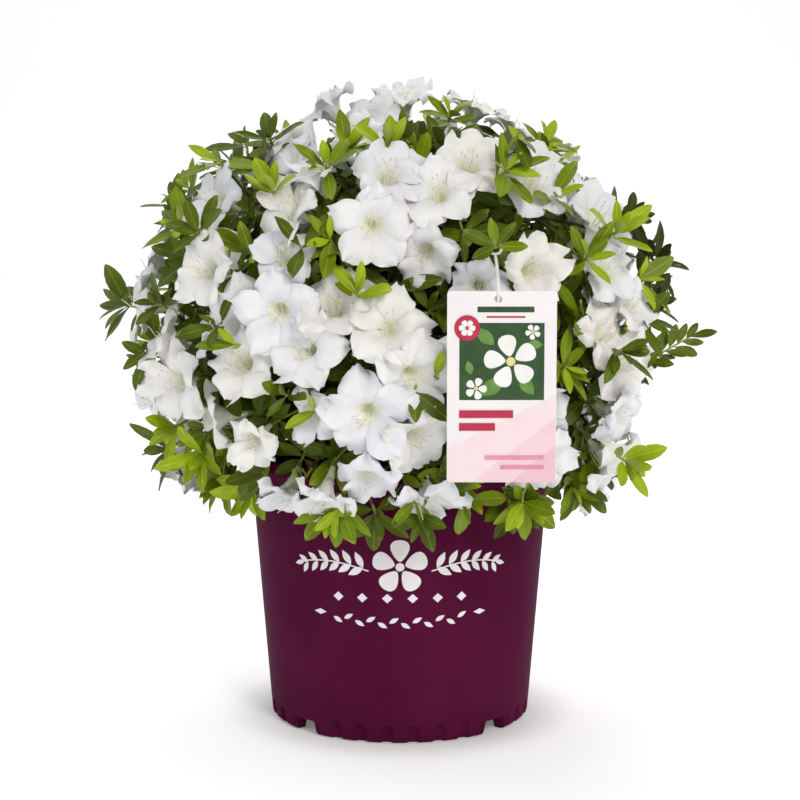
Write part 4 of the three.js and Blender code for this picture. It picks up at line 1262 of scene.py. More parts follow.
def leaf_mesh(shape):
    """A leaf one millimetre long that points along +Y, with its upper side towards +Z."""
    fold = between(0.04, 0.3, shape, 1)
    droop = between(-0.05, 0.24, shape, 2)
    twist = between(-0.25, 0.25, shape, 3)
    wave = between(0, 0.018, shape, 4)
    fullness = between(1.15, 1.45, shape, 5)
    rows = [0, 0.09, 0.26, 0.46, 0.65, 0.82, 0.95, 1]

    def half_width(t):
        if t < 0.05:
            return 0.012
        return max(0.002, 0.197 * math.sin(math.pi * t**fullness) ** 0.7) * (0.5 if t < 0.15 else 1)

    def place(t, across, under):
        rise = abs(across) * fold - droop * t * t + wave * math.sin(t * 9 + (2 if across > 0 else 0)) - under
        return Vector((across, t * (1 - 0.1 * droop), rise + twist * t * across))

    points, faces, finishes = [], [], []
    for t in rows:
        half = half_width(t)
        rib = min(half * 0.5, 0.009)
        points += [place(t, -half, 0), place(t, -rib, -0.006), place(t, rib, -0.006)]
        points += [place(t, half, 0), place(t, 0, 0.02)]
    for i in range(len(rows) - 1):
        low, high = 5 * i, 5 * (i + 1)
        for k, finish in ((0, BLADE), (1, RIB), (2, BLADE)):
            faces.append([low + k, low + k + 1, high + k + 1, high + k])
            finishes.append(finish)
        faces.append([low + 3, low + 4, high + 4, high + 3])
        faces.append([low + 4, low, high, high + 4])
        finishes += [UNDERSIDE] * 2
    faces.append([0, 4, 3, 2, 1])
    last = 5 * (len(rows) - 1)
    faces.append([last, last + 1, last + 2, last + 3, last + 4])
    finishes += [UNDERSIDE] * 2
    return points, faces, finishes


def bud_mesh():
    """A pointed bud one millimetre long along +Z, furled in five soft ridges."""
    rows, sides = 9, 15
    points = [Vector((0, 0, 0))]
    for i in range(rows):
        t = (i + 0.5) / rows
        girth = BUD_RADIUS / BUD_LENGTH * math.sin(math.pi * t**0.72) ** 0.9
        for k in range(sides):
            turn = 2 * math.pi * k / sides
            radius = girth * (1 + 0.14 * math.cos(PLACES * (turn - 1.9 * t)))
            points.append(Vector((*on_circle(0, 0, radius, turn), t)))
    points.append(Vector((0, 0, 1)))
    finishes = ([BUD_FOOT] * 3 + [BUD_TIP] * (rows - 2)) * sides
    return points, skin_faces(sides, rows), finishes


# Geometry Nodes trees


def add_node(tree, kind, inputs=None, **settings):
    """Adds a node with its settings. An input is a value, another node's output, or a node for its first."""
    node = tree.nodes.new(kind)
    for name, value in settings.items():
        setattr(node, name, value)
    for socket, value in (inputs or {}).items():
        if isinstance(value, bpy.types.Node):
            value = value.outputs[0]
        if isinstance(value, bpy.types.NodeSocket):
            tree.links.new(value, node.inputs[socket])
        else:
            node.inputs[socket].default_value = value
    return node


def new_tree(name, inputs):
    """A node group that takes the object's geometry and named inputs, and gives geometry."""
    tree = bpy.data.node_groups.new(name, "GeometryNodeTree")
    tree.interface.new_socket("Geometry", in_out="INPUT", socket_type="NodeSocketGeometry")
    for label, kind in inputs:
        tree.interface.new_socket(label, in_out="INPUT", socket_type=kind)
    tree.interface.new_socket("Geometry", in_out="OUTPUT", socket_type="NodeSocketGeometry")
    return tree, add_node(tree, "NodeGroupInput").outputs


def run_tree(obj, tree, values):
    """Runs a tree on an object and leaves the object with the plain mesh that it makes."""
    modifier = obj.modifiers.new(tree.name, "NODES")
    modifier.node_group = tree
    for item in tree.interface.items_tree:
        if item.in_out == "INPUT" and item.name in values:
            modifier[item.identifier] = values[item.name]
    depsgraph = bpy.context.evaluated_depsgraph_get()
    mesh = bpy.data.meshes.new_from_object(obj.evaluated_get(depsgraph), depsgraph=depsgraph)
    mesh.name = obj.name
    obj.modifiers.clear()
    obj.data = mesh


def sweep_lines(tree, given, lines, thickness=None):
    """Tubes along lines, as thick as the girth that each point carries."""
    girth = add_node(tree, "GeometryNodeInputNamedAttribute", {"Name": "girth"}, data_type="FLOAT")
    radius = girth.outputs["Attribute"]
    if thickness:
        radius = add_node(tree, "ShaderNodeMath", {0: radius, 1: thickness}, operation="MULTIPLY")
    ring = add_node(tree, "GeometryNodeCurvePrimitiveCircle", {"Resolution": given["Sides"], "Radius": 1.0})
    sweep = {"Curve": lines, "Profile Curve": ring, "Scale": radius, "Fill Caps": True}
    return add_node(tree, "GeometryNodeCurveToMesh", sweep)


def end_tree(tree, geometry, finish, smooth_skin=True):
    """Realizes what a tree made, sets its material and gives it out."""
    if smooth_skin:
        geometry = add_node(tree, "GeometryNodeSetShadeSmooth", {0: geometry})
    made = add_node(tree, "GeometryNodeRealizeInstances", {0: geometry})
    finished = add_node(tree, "GeometryNodeSetMaterial", {0: made, "Material": finish})
    add_node(tree, "NodeGroupOutput", {0: finished})
    return tree


def spray_tree(name, count):
    """Sets shapes on points, turned by the points' own directions, and finishes each part of them."""
    inputs = [("Shapes", "NodeSocketCollection"), ("Size", "NodeSocketFloat")]
    inputs += [(f"Finish {i}", "NodeSocketMaterial") for i in range(count)]
    tree, given = new_tree(name, inputs)
    separate = {"Collection": given["Shapes"], "Separate Children": True, "Reset Children": True}
    shapes = add_node(tree, "GeometryNodeCollectionInfo", separate)
    read = {}
    for label in ("along", "face", "size", "shape", "finish"):
        kind = "INT" if label in ("shape", "finish") else "FLOAT_VECTOR"
        node = add_node(tree, "GeometryNodeInputNamedAttribute", {"Name": label}, data_type=kind)
        read[label] = node.outputs["Attribute"]
    axes = {"primary_axis": "Y", "secondary_axis": "Z"}
    if name == "blossom":
        axes = {"primary_axis": "Z", "secondary_axis": "X"}
    aims = {"Primary Axis": read["along"], "Secondary Axis": read["face"]}
    turn = add_node(tree, "FunctionNodeAxesToRotation", aims, **axes)
    sizes = {0: read["size"], "Scale": given["Size"]}
    scaled = add_node(tree, "ShaderNodeVectorMath", sizes, operation="SCALE")
    picked = {"Instance": shapes, "Pick Instance": True, "Instance Index": read["shape"]}
    stance = {"Rotation": turn.outputs["Rotation"], "Scale": scaled}
    strewn = {"Points": given["Geometry"], **picked, **stance}
    placed = add_node(tree, "GeometryNodeInstanceOnPoints", strewn)
    made = add_node(tree, "GeometryNodeRealizeInstances", {0: placed})
    for i in range(count):
        pair = {2: read["finish"], 3: i}
        chosen = add_node(tree, "FunctionNodeCompare", pair, data_type="INT", operation="EQUAL")
        finished = {"Geometry": made, "Selection": chosen}
        made = add_node(tree, "GeometryNodeSetMaterial", {**finished, "Material": given[f"Finish {i}"]})
    add_node(tree, "NodeGroupOutput", {0: made})
    return tree


def twig_tree():
    """Turns lines with a radius at each point into tubes."""
    inputs = [("Sides", "NodeSocketInt"), ("Thickness", "NodeSocketFloat"), ("Finish", "NodeSocketMaterial")]
    tree, given = new_tree("twigs", inputs)
    lines = add_node(tree, "GeometryNodeMeshToCurve", {"Mesh": given["Geometry"]})
    tubes = sweep_lines(tree, given, lines, given["Thickness"])
    return end_tree(tree, tubes, given["Finish"])


def bark_tree():
    """Turns lines into limbs whose bark stands in long ridges."""
    inputs = [("Sides", "NodeSocketInt"), ("Finish", "NodeSocketMaterial")]
    inputs += [(label, "NodeSocketFloat") for label in ("Step", "Relief", "Grain")]
    tree, given = new_tree("bark", inputs)
    lines = add_node(tree, "GeometryNodeMeshToCurve", {"Mesh": given["Geometry"]})
    spacing = {"Curve": lines, "Length": given["Step"]}
    even = add_node(tree, "GeometryNodeResampleCurve", spacing, mode="LENGTH")
    limbs = sweep_lines(tree, given, even)
    place = add_node(tree, "GeometryNodeInputPosition")
    squeezed = {0: place, 1: (1, 1, BARK_DRAWN_OUT)}
    drawn_out = add_node(tree, "ShaderNodeVectorMath", squeezed, operation="MULTIPLY")
    scale = add_node(tree, "ShaderNodeMath", {0: 1.0, 1: given["Grain"]}, operation="DIVIDE")
    pattern = {"Vector": drawn_out, "Scale": scale, "Detail": 3.0}
    ridges = add_node(tree, "ShaderNodeTexNoise", pattern)
    centred = add_node(tree, "ShaderNodeMath", {0: ridges.outputs["Fac"], 1: 0.5}, operation="SUBTRACT")
    factors = {0: centred, 1: given["Relief"]}
    height = add_node(tree, "ShaderNodeMath", factors, operation="MULTIPLY")
    normal = add_node(tree, "GeometryNodeInputNormal")
    lift = {0: normal, "Scale": height}
    offset = add_node(tree, "ShaderNodeVectorMath", lift, operation="SCALE")
    raised = add_node(tree, "GeometryNodeSetPosition", {"Geometry": limbs, "Offset": offset})
    return end_tree(tree, raised, given["Finish"])


def crumb_tree():
    """Strews crumbs of bark over the mix."""
    inputs = [("Crumb", "NodeSocketObject"), ("Density", "NodeSocketFloat")]
    inputs += [("Seed", "NodeSocketInt"), ("Finish", "NodeSocketMaterial")]
    tree, given = new_tree("crumbs", inputs)
    bed = {"Mesh": given["Geometry"], "Density": given["Density"], "Seed": given["Seed"]}
    spots = add_node(tree, "GeometryNodeDistributePointsOnFaces", bed)
    crumb = add_node(tree, "GeometryNodeObjectInfo", {"Object": given["Crumb"]})
    turns = {0: (0, 0, 0), 1: (6.28, 6.28, 6.28), "Seed": given["Seed"]}
    turn = add_node(tree, "FunctionNodeRandomValue", turns, data_type="FLOAT_VECTOR")
    sizes = {0: (0.5, 0.5, 0.5), 1: (1.5, 1.3, 1.2), "Seed": given["Seed"]}
    scale = add_node(tree, "FunctionNodeRandomValue", sizes, data_type="FLOAT_VECTOR")
    strewn = {"Points": spots, "Instance": crumb.outputs["Geometry"]}
    strewn.update({"Rotation": turn, "Scale": scale})
    placed = add_node(tree, "GeometryNodeInstanceOnPoints", strewn)
    return end_tree(tree, placed, given["Finish"], smooth_skin=False)


def point_cloud(name, places):
    """A mesh of bare points that carry a direction, a facing, a size and a shape number."""
    mesh = bpy.data.meshes.new(name)
    mesh.from_pydata([tuple(p[0] * MM) for p in places], [], [])
    for i, label in ((1, "along"), (2, "face"), (3, "size")):
        attribute = mesh.attributes.new(label, "FLOAT_VECTOR", "POINT")
        attribute.data.foreach_set("vector", [x for p in places for x in p[i]])
    attribute = mesh.attributes.new("shape", "INT", "POINT")
    attribute.data.foreach_set("value", [p[4] for p in places])
    return new_object(mesh)


def line_mesh(name, paths):
    """A mesh of bare lines that carry a girth at each point."""
    points, edges, girths = [], [], []
    for path in paths:
        start = len(points)
        points += [tuple(p * MM) for p in path.points]
        edges += [(start + i, start + i + 1) for i in range(len(path.points) - 1)]
        girths += [radius * MM for radius in path.radii]
    mesh = bpy.data.meshes.new(name)
    mesh.from_pydata(points, edges, [])
    attribute = mesh.attributes.new("girth", "FLOAT", "POINT")
    attribute.data.foreach_set("value", girths)
    return new_object(mesh)


def shape_collection(name, parts):
    collection = bpy.data.collections.new(name)
    for i, (points, faces, finishes) in enumerate(parts):
        mesh = mesh_from(f"{name}_{i:02d}", points, faces, finishes)
        collection.objects.link(bpy.data.objects.new(mesh.name, mesh))
    return collection


# Materials


def linear(code):
    """Linear colour from an sRGB hex code."""
    values = [int(code[i : i + 2], 16) / 255 for i in (1, 3, 5)]
    return tuple(v / 12.92 if v <= 0.04045 else ((v + 0.055) / 1.055) ** 2.4 for v in values) + (1,)


def new_material(name, roughness, colour=None, **sockets):
    material = bpy.data.materials.new(name)
    material.use_nodes = True
    shader = material.node_tree.nodes["Principled BSDF"]
    shader.inputs["Roughness"].default_value = roughness
    if colour:
        shader.inputs["Base Color"].default_value = linear(colour)
    for label, value in sockets.items():
        shader.inputs[label.replace("_", " ")].default_value = value
    return material, material.node_tree, shader


def mottled(name, colours, spot, roughness, relief=0, pitch=2, stretch=(1, 1, 1), **sockets):
    """A surface whose colour drifts between two, with a fine relief. Its sizes are real ones, in mm."""
    material, tree, shader = new_material(name, roughness, colours[0], **sockets)
    place = add_node(tree, "ShaderNodeTexCoord").outputs["Object"]
    drawn = add_node(tree, "ShaderNodeVectorMath", {0: place, 1: stretch}, operation="MULTIPLY")
    pattern = {"Vector": drawn, "Scale": 1 / (spot * MM), "Detail": 3.0}
    patches = add_node(tree, "ShaderNodeTexNoise", pattern)
    reach = {"Value": patches.outputs["Fac"], "From Min": 0.35, "From Max": 0.65}
    contrast = add_node(tree, "ShaderNodeMapRange", reach)
    blend = {0: contrast, 6: linear(colours[0]), 7: linear(colours[1])}
    mix = add_node(tree, "ShaderNodeMix", blend, data_type="RGBA")
    tree.links.new(mix.outputs[2], shader.inputs["Base Color"])
    if relief:
        pattern = {"Vector": drawn, "Scale": 1 / (pitch * MM), "Detail": 4.0}
        grain = add_node(tree, "ShaderNodeTexNoise", pattern)
        rise = {"Height": grain.outputs["Fac"], "Distance": relief * MM, "Strength": 1.0}
        bump = add_node(tree, "ShaderNodeBump", rise)
        tree.links.new(bump.outputs[0], shader.inputs["Normal"])
    return material


def leaf_finishes(tone, blade, blade_light, rib, underside, roughness):
    """Azalea leaf: a waxy upper side with a soft gloss, a paler rib and a dull underside.

    Its green drifts over half a leaf, and its skin swells between side veins that are 3.5 mm apart.
    """
    skin = {"relief": 0.12, "pitch": 3.5, "Specular_IOR_Level": 0.2}
    return [
        mottled(f"leaf_{tone}_blade", (blade, blade_light), 26, roughness, **skin),
        new_material(f"leaf_{tone}_rib", roughness + 0.1, rib, Specular_IOR_Level=0.3)[0],
        new_material(f"leaf_{tone}_underside", 0.62, underside, Specular_IOR_Level=0.25)[0],
    ]


# Pot


def ring_profile_mesh(name, columns, rows_at):
    """A turned skin from one closed profile per column. Both ends of the profile lie on the axis."""
    points, faces = [], []
    count = len(rows_at(0))
    for c in range(columns):
        bearing = 2 * math.pi * c / columns
        for radius, height in rows_at(bearing)[1:-1]:
            points.append(Vector((math.cos(bearing) * radius, math.sin(bearing) * radius, height)))
    inner = count - 2
    bottom, top = len(points), len(points) + 1
    points += [Vector((0, 0, rows_at(0)[0][1])), Vector((0, 0, rows_at(0)[-1][1]))]
    for c in range(columns):
        n = (c + 1) % columns
        faces.append([bottom, n * inner, c * inner])
        for i in range(inner - 1):
            faces.append([c * inner + i, n * inner + i, n * inner + i + 1, c * inner + i + 1])
        faces.append([c * inner + inner - 1, n * inner + inner - 1, top])
    return mesh_from(name, points, faces)


def wall_radius(height):
    """The radius of the pot's outside at a height, from its foot to its rim."""
    share = (height - WALL_FOOT) / (POT_HEIGHT - RIM_HEIGHT - WALL_FOOT)
    return POT_FOOT_RADIUS - WALL_TUCK + (POT_TOP_RADIUS - POT_FOOT_RADIUS + WALL_TUCK) * share


def pot_rows(bearing):
    """The pot's profile at a bearing: from the middle of its underside up outside, then down inside."""
    pitch = 2 * math.pi / FLUTE_COUNT
    offset = ((bearing / pitch) % 1 - 0.5) * pitch * POT_FOOT_RADIUS
    quarter = 2 * math.pi / NOTCH_COUNT
    from_notch = abs((bearing % quarter) - quarter / 2) * POT_FOOT_RADIUS
    notch = 1 - smooth(from_notch, NOTCH_HALF_WIDTH - 1.5, NOTCH_HALF_WIDTH + 1.5)
    plain = smooth(from_notch, NOTCH_HALF_WIDTH + 2, NOTCH_HALF_WIDTH + 4)
    bottom = NOTCH_HEIGHT * notch
    scallop = 0.8 * (1 - notch) * smooth(abs(offset), FLUTE_HALF_WIDTH, FLUTE_HALF_WIDTH + 3)

    def channel(height):
        if abs(offset) >= FLUTE_HALF_WIDTH:
            return 0
        arch = FLUTE_HEIGHT - FLUTE_HALF_WIDTH + math.sqrt(FLUTE_HALF_WIDTH**2 - offset**2)
        round_share = math.sqrt(1 - (offset / FLUTE_HALF_WIDTH) ** 2)
        return FLUTE_DEPTH * round_share**0.38 * (1 - smooth(height, arch - 1.6, arch)) * plain

    pad = CENTRE_PAD_RADIUS
    ring_inside = POT_FOOT_RADIUS - FOOT_RING_WIDTH
    rows = [(0, 0), (pad - 1, 0), (pad, 0.6), (pad + 2, FOOT_HEIGHT - 0.5), (pad + 4, FOOT_HEIGHT)]
    rows += [(ring_inside - 4, FOOT_HEIGHT), (ring_inside - 2, FOOT_HEIGHT - 0.5)]
    base = max(bottom, 0.3 * scallop)
    rows += [(ring_inside, min(FOOT_HEIGHT - 0.7, base + 0.6)), (ring_inside + 1, base)]
    rows.append((POT_FOOT_RADIUS - 4.5 - channel(0), base))
    for step in FLUTED_STEPS:
        height = base + step * (FLUTED_HEIGHT - base) / FLUTED_HEIGHT
        tuck = 3 * (1 - smooth(step, 0, 4)) ** 2
        rows.append((wall_radius(height) - tuck - channel(height), height))
    shoulder = POT_HEIGHT - RIM_HEIGHT
    for share in WALL_STEPS:
        height = FLUTED_HEIGHT + (shoulder - FLUTED_HEIGHT) * share
        rows.append((wall_radius(height), height))
    rim = POT_TOP_RADIUS + RIM_STANDOUT
    rows += [(rim - 1.4, shoulder + 0.4), (rim - 0.3, shoulder + 1.4), (rim, shoulder + 3)]
    for turn in (0, 30, 60, 90, 120, 150, 180):
        rows.append(on_circle(rim - RIM_ROUND, POT_HEIGHT - RIM_ROUND, RIM_ROUND, math.radians(turn)))
    inner_top = POT_TOP_RADIUS - POT_WALL
    inner_foot = POT_FOOT_RADIUS - POT_WALL
    floor = FOOT_HEIGHT + POT_WALL
    rows += [(inner_top, POT_HEIGHT - 6), (inner_top - 0.8, POT_HEIGHT - 30)]
    rows += [(inner_foot + 1, floor + 4), (inner_foot - 3, floor), (0, floor)]
    return rows


def mix_rows(bearing):
    """The mix's surface is lumpy and mounds up to the stem."""
    floor = FOOT_HEIGHT + POT_WALL + CLEAR
    top = POT_HEIGHT - MIX_BELOW_RIM
    inner_foot = POT_FOOT_RADIUS - POT_WALL
    widening = (POT_TOP_RADIUS - POT_FOOT_RADIUS) * (top - floor) / (POT_HEIGHT - floor)
    edge = inner_foot + widening - 2 * CLEAR
    rows = [(0, floor), (inner_foot - 3, floor), (edge - 0.5, top - 2)]
    for i in range(MIX_RINGS):
        radius = edge * (1 - i / MIX_RINGS)
        mound = MIX_MOUND * (1 - smooth(radius, STEM_FOOT_RADIUS, edge))
        turn = bearing * 7 + 3 * math.sin(bearing * 3)
        lump = math.sin(radius * 0.31 + turn) + math.sin(radius * 0.83 - bearing * 19) * 0.6
        lump += math.sin(radius * 1.7 + bearing * 41) * 0.4
        calm = smooth(radius, STEM_FOOT_RADIUS * 0.6, STEM_FOOT_RADIUS * 1.4)
        rows.append((radius, top + mound - 1.2 + MIX_ROUGHNESS * 0.5 * lump * calm))
    rows.append((0, top + MIX_MOUND - 1.2))
    return rows


# Prints: thin raised shapes on the pot and on the label


def raised_shapes(name, shapes, place, rise, sink):
    """Closed thin plates from flat outlines. Place gives the point and outward direction of a flat spot."""
    parts = []
    for middle, ring in shapes:
        count = len(ring)
        points = []
        for depth in (rise, -sink):
            for spot in [middle, *ring]:
                point, out = place(*spot)
                points.append(point + out * depth)
        faces = []
        for k in range(count):
            n = (k + 1) % count
            faces.append([0, 1 + k, 1 + n])
            faces.append([count + 1, count + 2 + n, count + 2 + k])
            faces.append([1 + k, count + 2 + k, count + 2 + n, 1 + n])
        parts.append((points, faces, [0] * len(faces)))
    mesh = mesh_from(name, *join_parts(parts)[:2])
    mesh.shade_flat()
    return mesh


def disc_shape(x, z, radius, sides=28):
    return (x, z), [on_circle(x, z, radius, 2 * math.pi * k / sides) for k in range(sides)]


def leaf_shape(x, z, length, half, heading):
    """A pointed flat leaf that starts at a spot and heads off at an angle."""
    ring = []
    steps = 8
    for side in (1, -1):
        for k in range(steps):
            t = k / steps if side == 1 else 1 - k / steps
            ring.append((t * length, -side * half * math.sin(math.pi * t**0.9)))
    turn_x, turn_z = math.cos(heading), math.sin(heading)

    def turned(spot):
        return (x + spot[0] * turn_x - spot[1] * turn_z, z + spot[0] * turn_z + spot[1] * turn_x)

    return turned((length / 2, 0)), [turned(spot) for spot in ring]


def bar_shapes(x, z, width, height, most=6):
    """A bar cut into short lengths, so that it can follow a round wall."""
    count = max(1, math.ceil(width / most))
    step = width / count
    bottom, top = z - height / 2, z + height / 2
    shapes = []
    for i in range(count):
        left, right = x - width / 2 + i * step, x - width / 2 + (i + 1) * step
        shapes.append((((left + right) / 2, z), [(left, bottom), (right, bottom), (right, top), (left, top)]))
    return shapes


def lozenge_shape(x, z, half_width, half_height):
    return (x, z), [(x - half_width, z), (x, z - half_height), (x + half_width, z), (x, z + half_height)]


def petal_shapes(x, z, radius, turn=0.0, count=5):
    """Broad round petals set round a middle, like those of a simple blossom."""
    shapes = []
    for k in range(count):
        bearing = turn + math.pi / 2 + 2 * math.pi * k / count
        across, up = math.cos(bearing), math.sin(bearing)
        ring = []
        for i in range(PRINT_PETAL_POINTS):
            spin = 2 * math.pi * i / PRINT_PETAL_POINTS
            out = radius * (0.6 + 0.4 * math.cos(spin))
            aside = radius * 0.36 * math.sin(spin) * (0.62 + 0.38 * math.cos(spin) + 0.25)
            ring.append((x + out * across - aside * up, z + out * up + aside * across))
        shapes.append((on_circle(x, z, 0.6 * radius, bearing), ring))
    return shapes


def sprig_shapes(x, z, reach, side):
    """A stem that rises away to one side, with leaves in pairs."""

    def on_stem(share):
        return x + side * reach * share, z + 7 * math.sin(share * 2.6) - 2

    def headed(slope):
        return slope if side > 0 else math.pi - slope

    shapes = []
    for k in range(SPRIG_PAIRS):
        share = (k + 1) / SPRIG_PAIRS
        spot_x, spot_z = on_stem(share)
        slope = 0.34 * math.cos(share * 2.6)
        for up in (1, -1):
            heading = headed(slope + up * 0.8)
            shapes.append(leaf_shape(spot_x - side * 6, spot_z, 16 - 5 * share, 3.3 - 0.9 * share, heading))
    tip_x, tip_z = on_stem(1)
    shapes.append(leaf_shape(tip_x - side * 2, tip_z, 11, 2.1, headed(-0.25)))
    for k in range(SPRIG_STEM_STEPS):
        spots = [on_stem(k / SPRIG_STEM_STEPS), on_stem((k + 1) / SPRIG_STEM_STEPS)]
        (ax, az), (bx, bz) = spots if side > 0 else spots[::-1]
        ring = [(ax, az - 0.6), (bx, bz - 0.6), (bx, bz + 0.6), (ax, az + 0.6)]
        shapes.append((((ax + bx) / 2, (az + bz) / 2), ring))
    return shapes


def on_pot(x, z):
    """The spot on the pot's wall that lies x to the right of its front, at height z."""
    bearing = -math.pi / 2 + x / PRINT_WALL_RADIUS
    out = Vector((math.cos(bearing), math.sin(bearing), 0))
    return out * wall_radius(z) + UP * z, out


def on_label(x, z):
    """The spot on the card's face, from the card's middle."""
    face = LABEL_CENTRE - Vector((0, LABEL_THICKNESS / 2, 0))
    return face + Vector((x, 0, z)), Vector((0, -1, 0))


def pot_print():
    """A blossom between two leafy sprigs, over a row of lozenges and a garland."""
    shapes = petal_shapes(0, 160, 24) + [disc_shape(0, 160, 3.8, 14)]
    shapes += sprig_shapes(27, 158, 64, 1) + sprig_shapes(-27, 158, 64, -1)
    shapes += [lozenge_shape(22 * (k - 2.5), 132, 4.6, 4.2) for k in range(6)]
    for k in range(12):
        x = 10.2 * (k - 5.5)
        sag = 110 + 0.0011 * x * x
        shapes.append(leaf_shape(x - 4.4, sag, 9.6, 2, 0.5 if k % 2 else -0.5))
    shapes += [lozenge_shape(74 * side, 116.5, 6.4, 2.6) for side in (-1, 1)]
    return raised_shapes("pot_print", shapes, on_pot, PRINT_RISE, PRINT_SINK)


def card_mesh():
    """The card with rounded corners and the hole for its strap."""
    half_w, half_h, corner = LABEL_WIDTH / 2, LABEL_HEIGHT / 2, LABEL_CORNER
    ring = []
    for quarter, (sx, sz) in enumerate(((1, 1), (-1, 1), (-1, -1), (1, -1))):
        for k in range(7):
            turn = math.pi / 2 * (quarter + k / 6)
            ring.append(on_circle(sx * (half_w - corner), sz * (half_h - corner), corner, turn))
    hole_x, hole_z = LABEL_HOLE[0], half_h - LABEL_HOLE[1]

    def bearing(spot):
        return math.atan2(spot[1] - hole_z, spot[0] - hole_x)

    for k in range(LABEL_HOLE_SPOKES):
        turn = 2 * math.pi * (k + 0.5) / LABEL_HOLE_SPOKES
        across, up = math.cos(turn), math.sin(turn)
        reach_x = (math.copysign(half_w, across) - hole_x) / across
        reach_z = (math.copysign(half_h, up) - hole_z) / up
        reach = min(reach_x, reach_z)
        spot = (hole_x + reach * across, hole_z + reach * up)
        if abs(spot[0]) < half_w - corner or abs(spot[1]) < half_h - corner:
            ring.append(spot)
    ring.sort(key=bearing)
    hole = [on_circle(hole_x, hole_z, LABEL_HOLE_RADIUS, bearing(spot)) for spot in ring]
    points = []
    count = len(ring)
    for depth in (0, LABEL_THICKNESS):
        for x, z in ring + hole:
            point, out = on_label(x, z)
            points.append(point - out * depth)
    faces = []
    back = 2 * count
    for k in range(count):
        n = (k + 1) % count
        faces.append([k, n, count + n, count + k])
        faces.append([back + n, back + k, back + count + k, back + count + n])
        faces.append([n, k, back + k, back + n])
        faces.append([count + k, count + n, back + count + n, back + count + k])
    mesh = mesh_from("label_card", points, faces)
    mesh.shade_flat()
    return mesh


def strap_paths():
    """A thin strap: from the hole in the card up to the twig, round it and back."""
    hole = LABEL_CENTRE + Vector((LABEL_HOLE[0], 0, LABEL_HEIGHT / 2 - LABEL_HOLE[1]))
    loop = []
    for k in range(13):
        turn = -math.pi / 2 + 2 * math.pi * k / 12
        across, up = on_circle(0, 0, RING_RADIUS, turn)
        loop.append(RING_CENTRE + Vector((across, 0.6 * math.sin(turn), up)))
    foot = RING_CENTRE - UP * RING_RADIUS
    front = hole + Vector((0, -1.5, 2))
    behind = hole + Vector((0, 1.6, 2))
    start, meet = hole + Vector((0, 0, -2.4)), hole + Vector((0, 0, 11))
    half_way = meet.lerp(foot, 0.5) + Vector((0.4, 0, 0))
    return [
        Path([start, front, meet, half_way, foot], [0.9, 1.1, 1.4, 1.3, 1.2]),
        Path([start, behind, meet], [0.9, 1.1, 1.2]),
        Path(loop, [1.2] * 13),
    ]


LARGE_LEAVES = [leaf_shape(2, 6, 24, 6, -2.6), leaf_shape(14, 8, 18, 5, -0.9), leaf_shape(-6, 33, 20, 5, 2.4)]
PLAIN_BLOSSOMS = petal_shapes(7, 20, 21, 0.2) + petal_shapes(-20, -1, 8.5, 0.9) + petal_shapes(24, 43, 6, 0.5)
# What is printed on the card, in order: the ink, its shapes and the layer that it lies in
LABEL_PRINT = [
    ("palest_pink_ink", [((5, -52), [(-42, -74), (42, -74), (42, -6), (-42, -48)])], 0),
    ("pale_pink_ink", [((22, -57), [(-22, -74), (42, -74), (42, -24)])], 1),
    ("rose_ink", [((31, -64), [(8, -74), (42, -74), (42, -46)])], 2),
    ("leaf_green_ink", bar_shapes(0, 20, 66, 60, 66), 0),
    ("sage_ink", LARGE_LEAVES, 1),
    ("sage_ink", [leaf_shape(20, 34, 12, 3.6, -0.1), leaf_shape(-24, 10, 11, 3.2, 1.8)], 1),
    ("white_ink", PLAIN_BLOSSOMS, 2),
    ("cream_ink", [disc_shape(7, 20, 3.6, 18), disc_shape(-20, -1, 1.6, 12), disc_shape(24, 43, 1.2, 12)], 3),
    ("crimson_ink", [disc_shape(-27, 46, 10)], 3),
    ("white_ink", petal_shapes(-27, 46, 6.4, 0.5, 6), 4),
    ("leaf_green_ink", bar_shapes(3, 60.4, 44, 4.4, 44), 0),
    ("crimson_ink", bar_shapes(3, 54.6, 30, 1.4, 30), 0),
    ("crimson_ink", bar_shapes(-12, -21, 42, 6, 42) + bar_shapes(-19, -31, 28, 6, 28), 3),
    ("crimson_rose_ink", bar_shapes(10, -55, 46, 3.4, 46) + bar_shapes(16, -62.5, 34, 3.4, 34), 4),
]

INKS = {
    "leaf_green_ink": ("#2c4a25", "#35562b"),
    "crimson_ink": ("#c2304f", "#b92a49"),
    "palest_pink_ink": ("#fae6ea", "#f9e2e7"),
    "pale_pink_ink": ("#f7d9e0", "#f6d4dc"),
    "rose_ink": ("#f3c8d3", "#f1c1cd"),
    "crimson_rose_ink": ("#e79fb0", "#e495a8"),
    "white_ink": ("#fbfbfa", "#f2f3ef"),
    "sage_ink": ("#6d9a4a", "#5c8a40"),
    "cream_ink": ("#e8dfa0", "#e0d48c"),
}


# Building


def finish_piece(obj, nodes, material=None):
    if material:
        obj.data.materials.clear()
        obj.data.materials.append(material)
    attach(obj, "root")
    if nodes:
        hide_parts(*nodes)


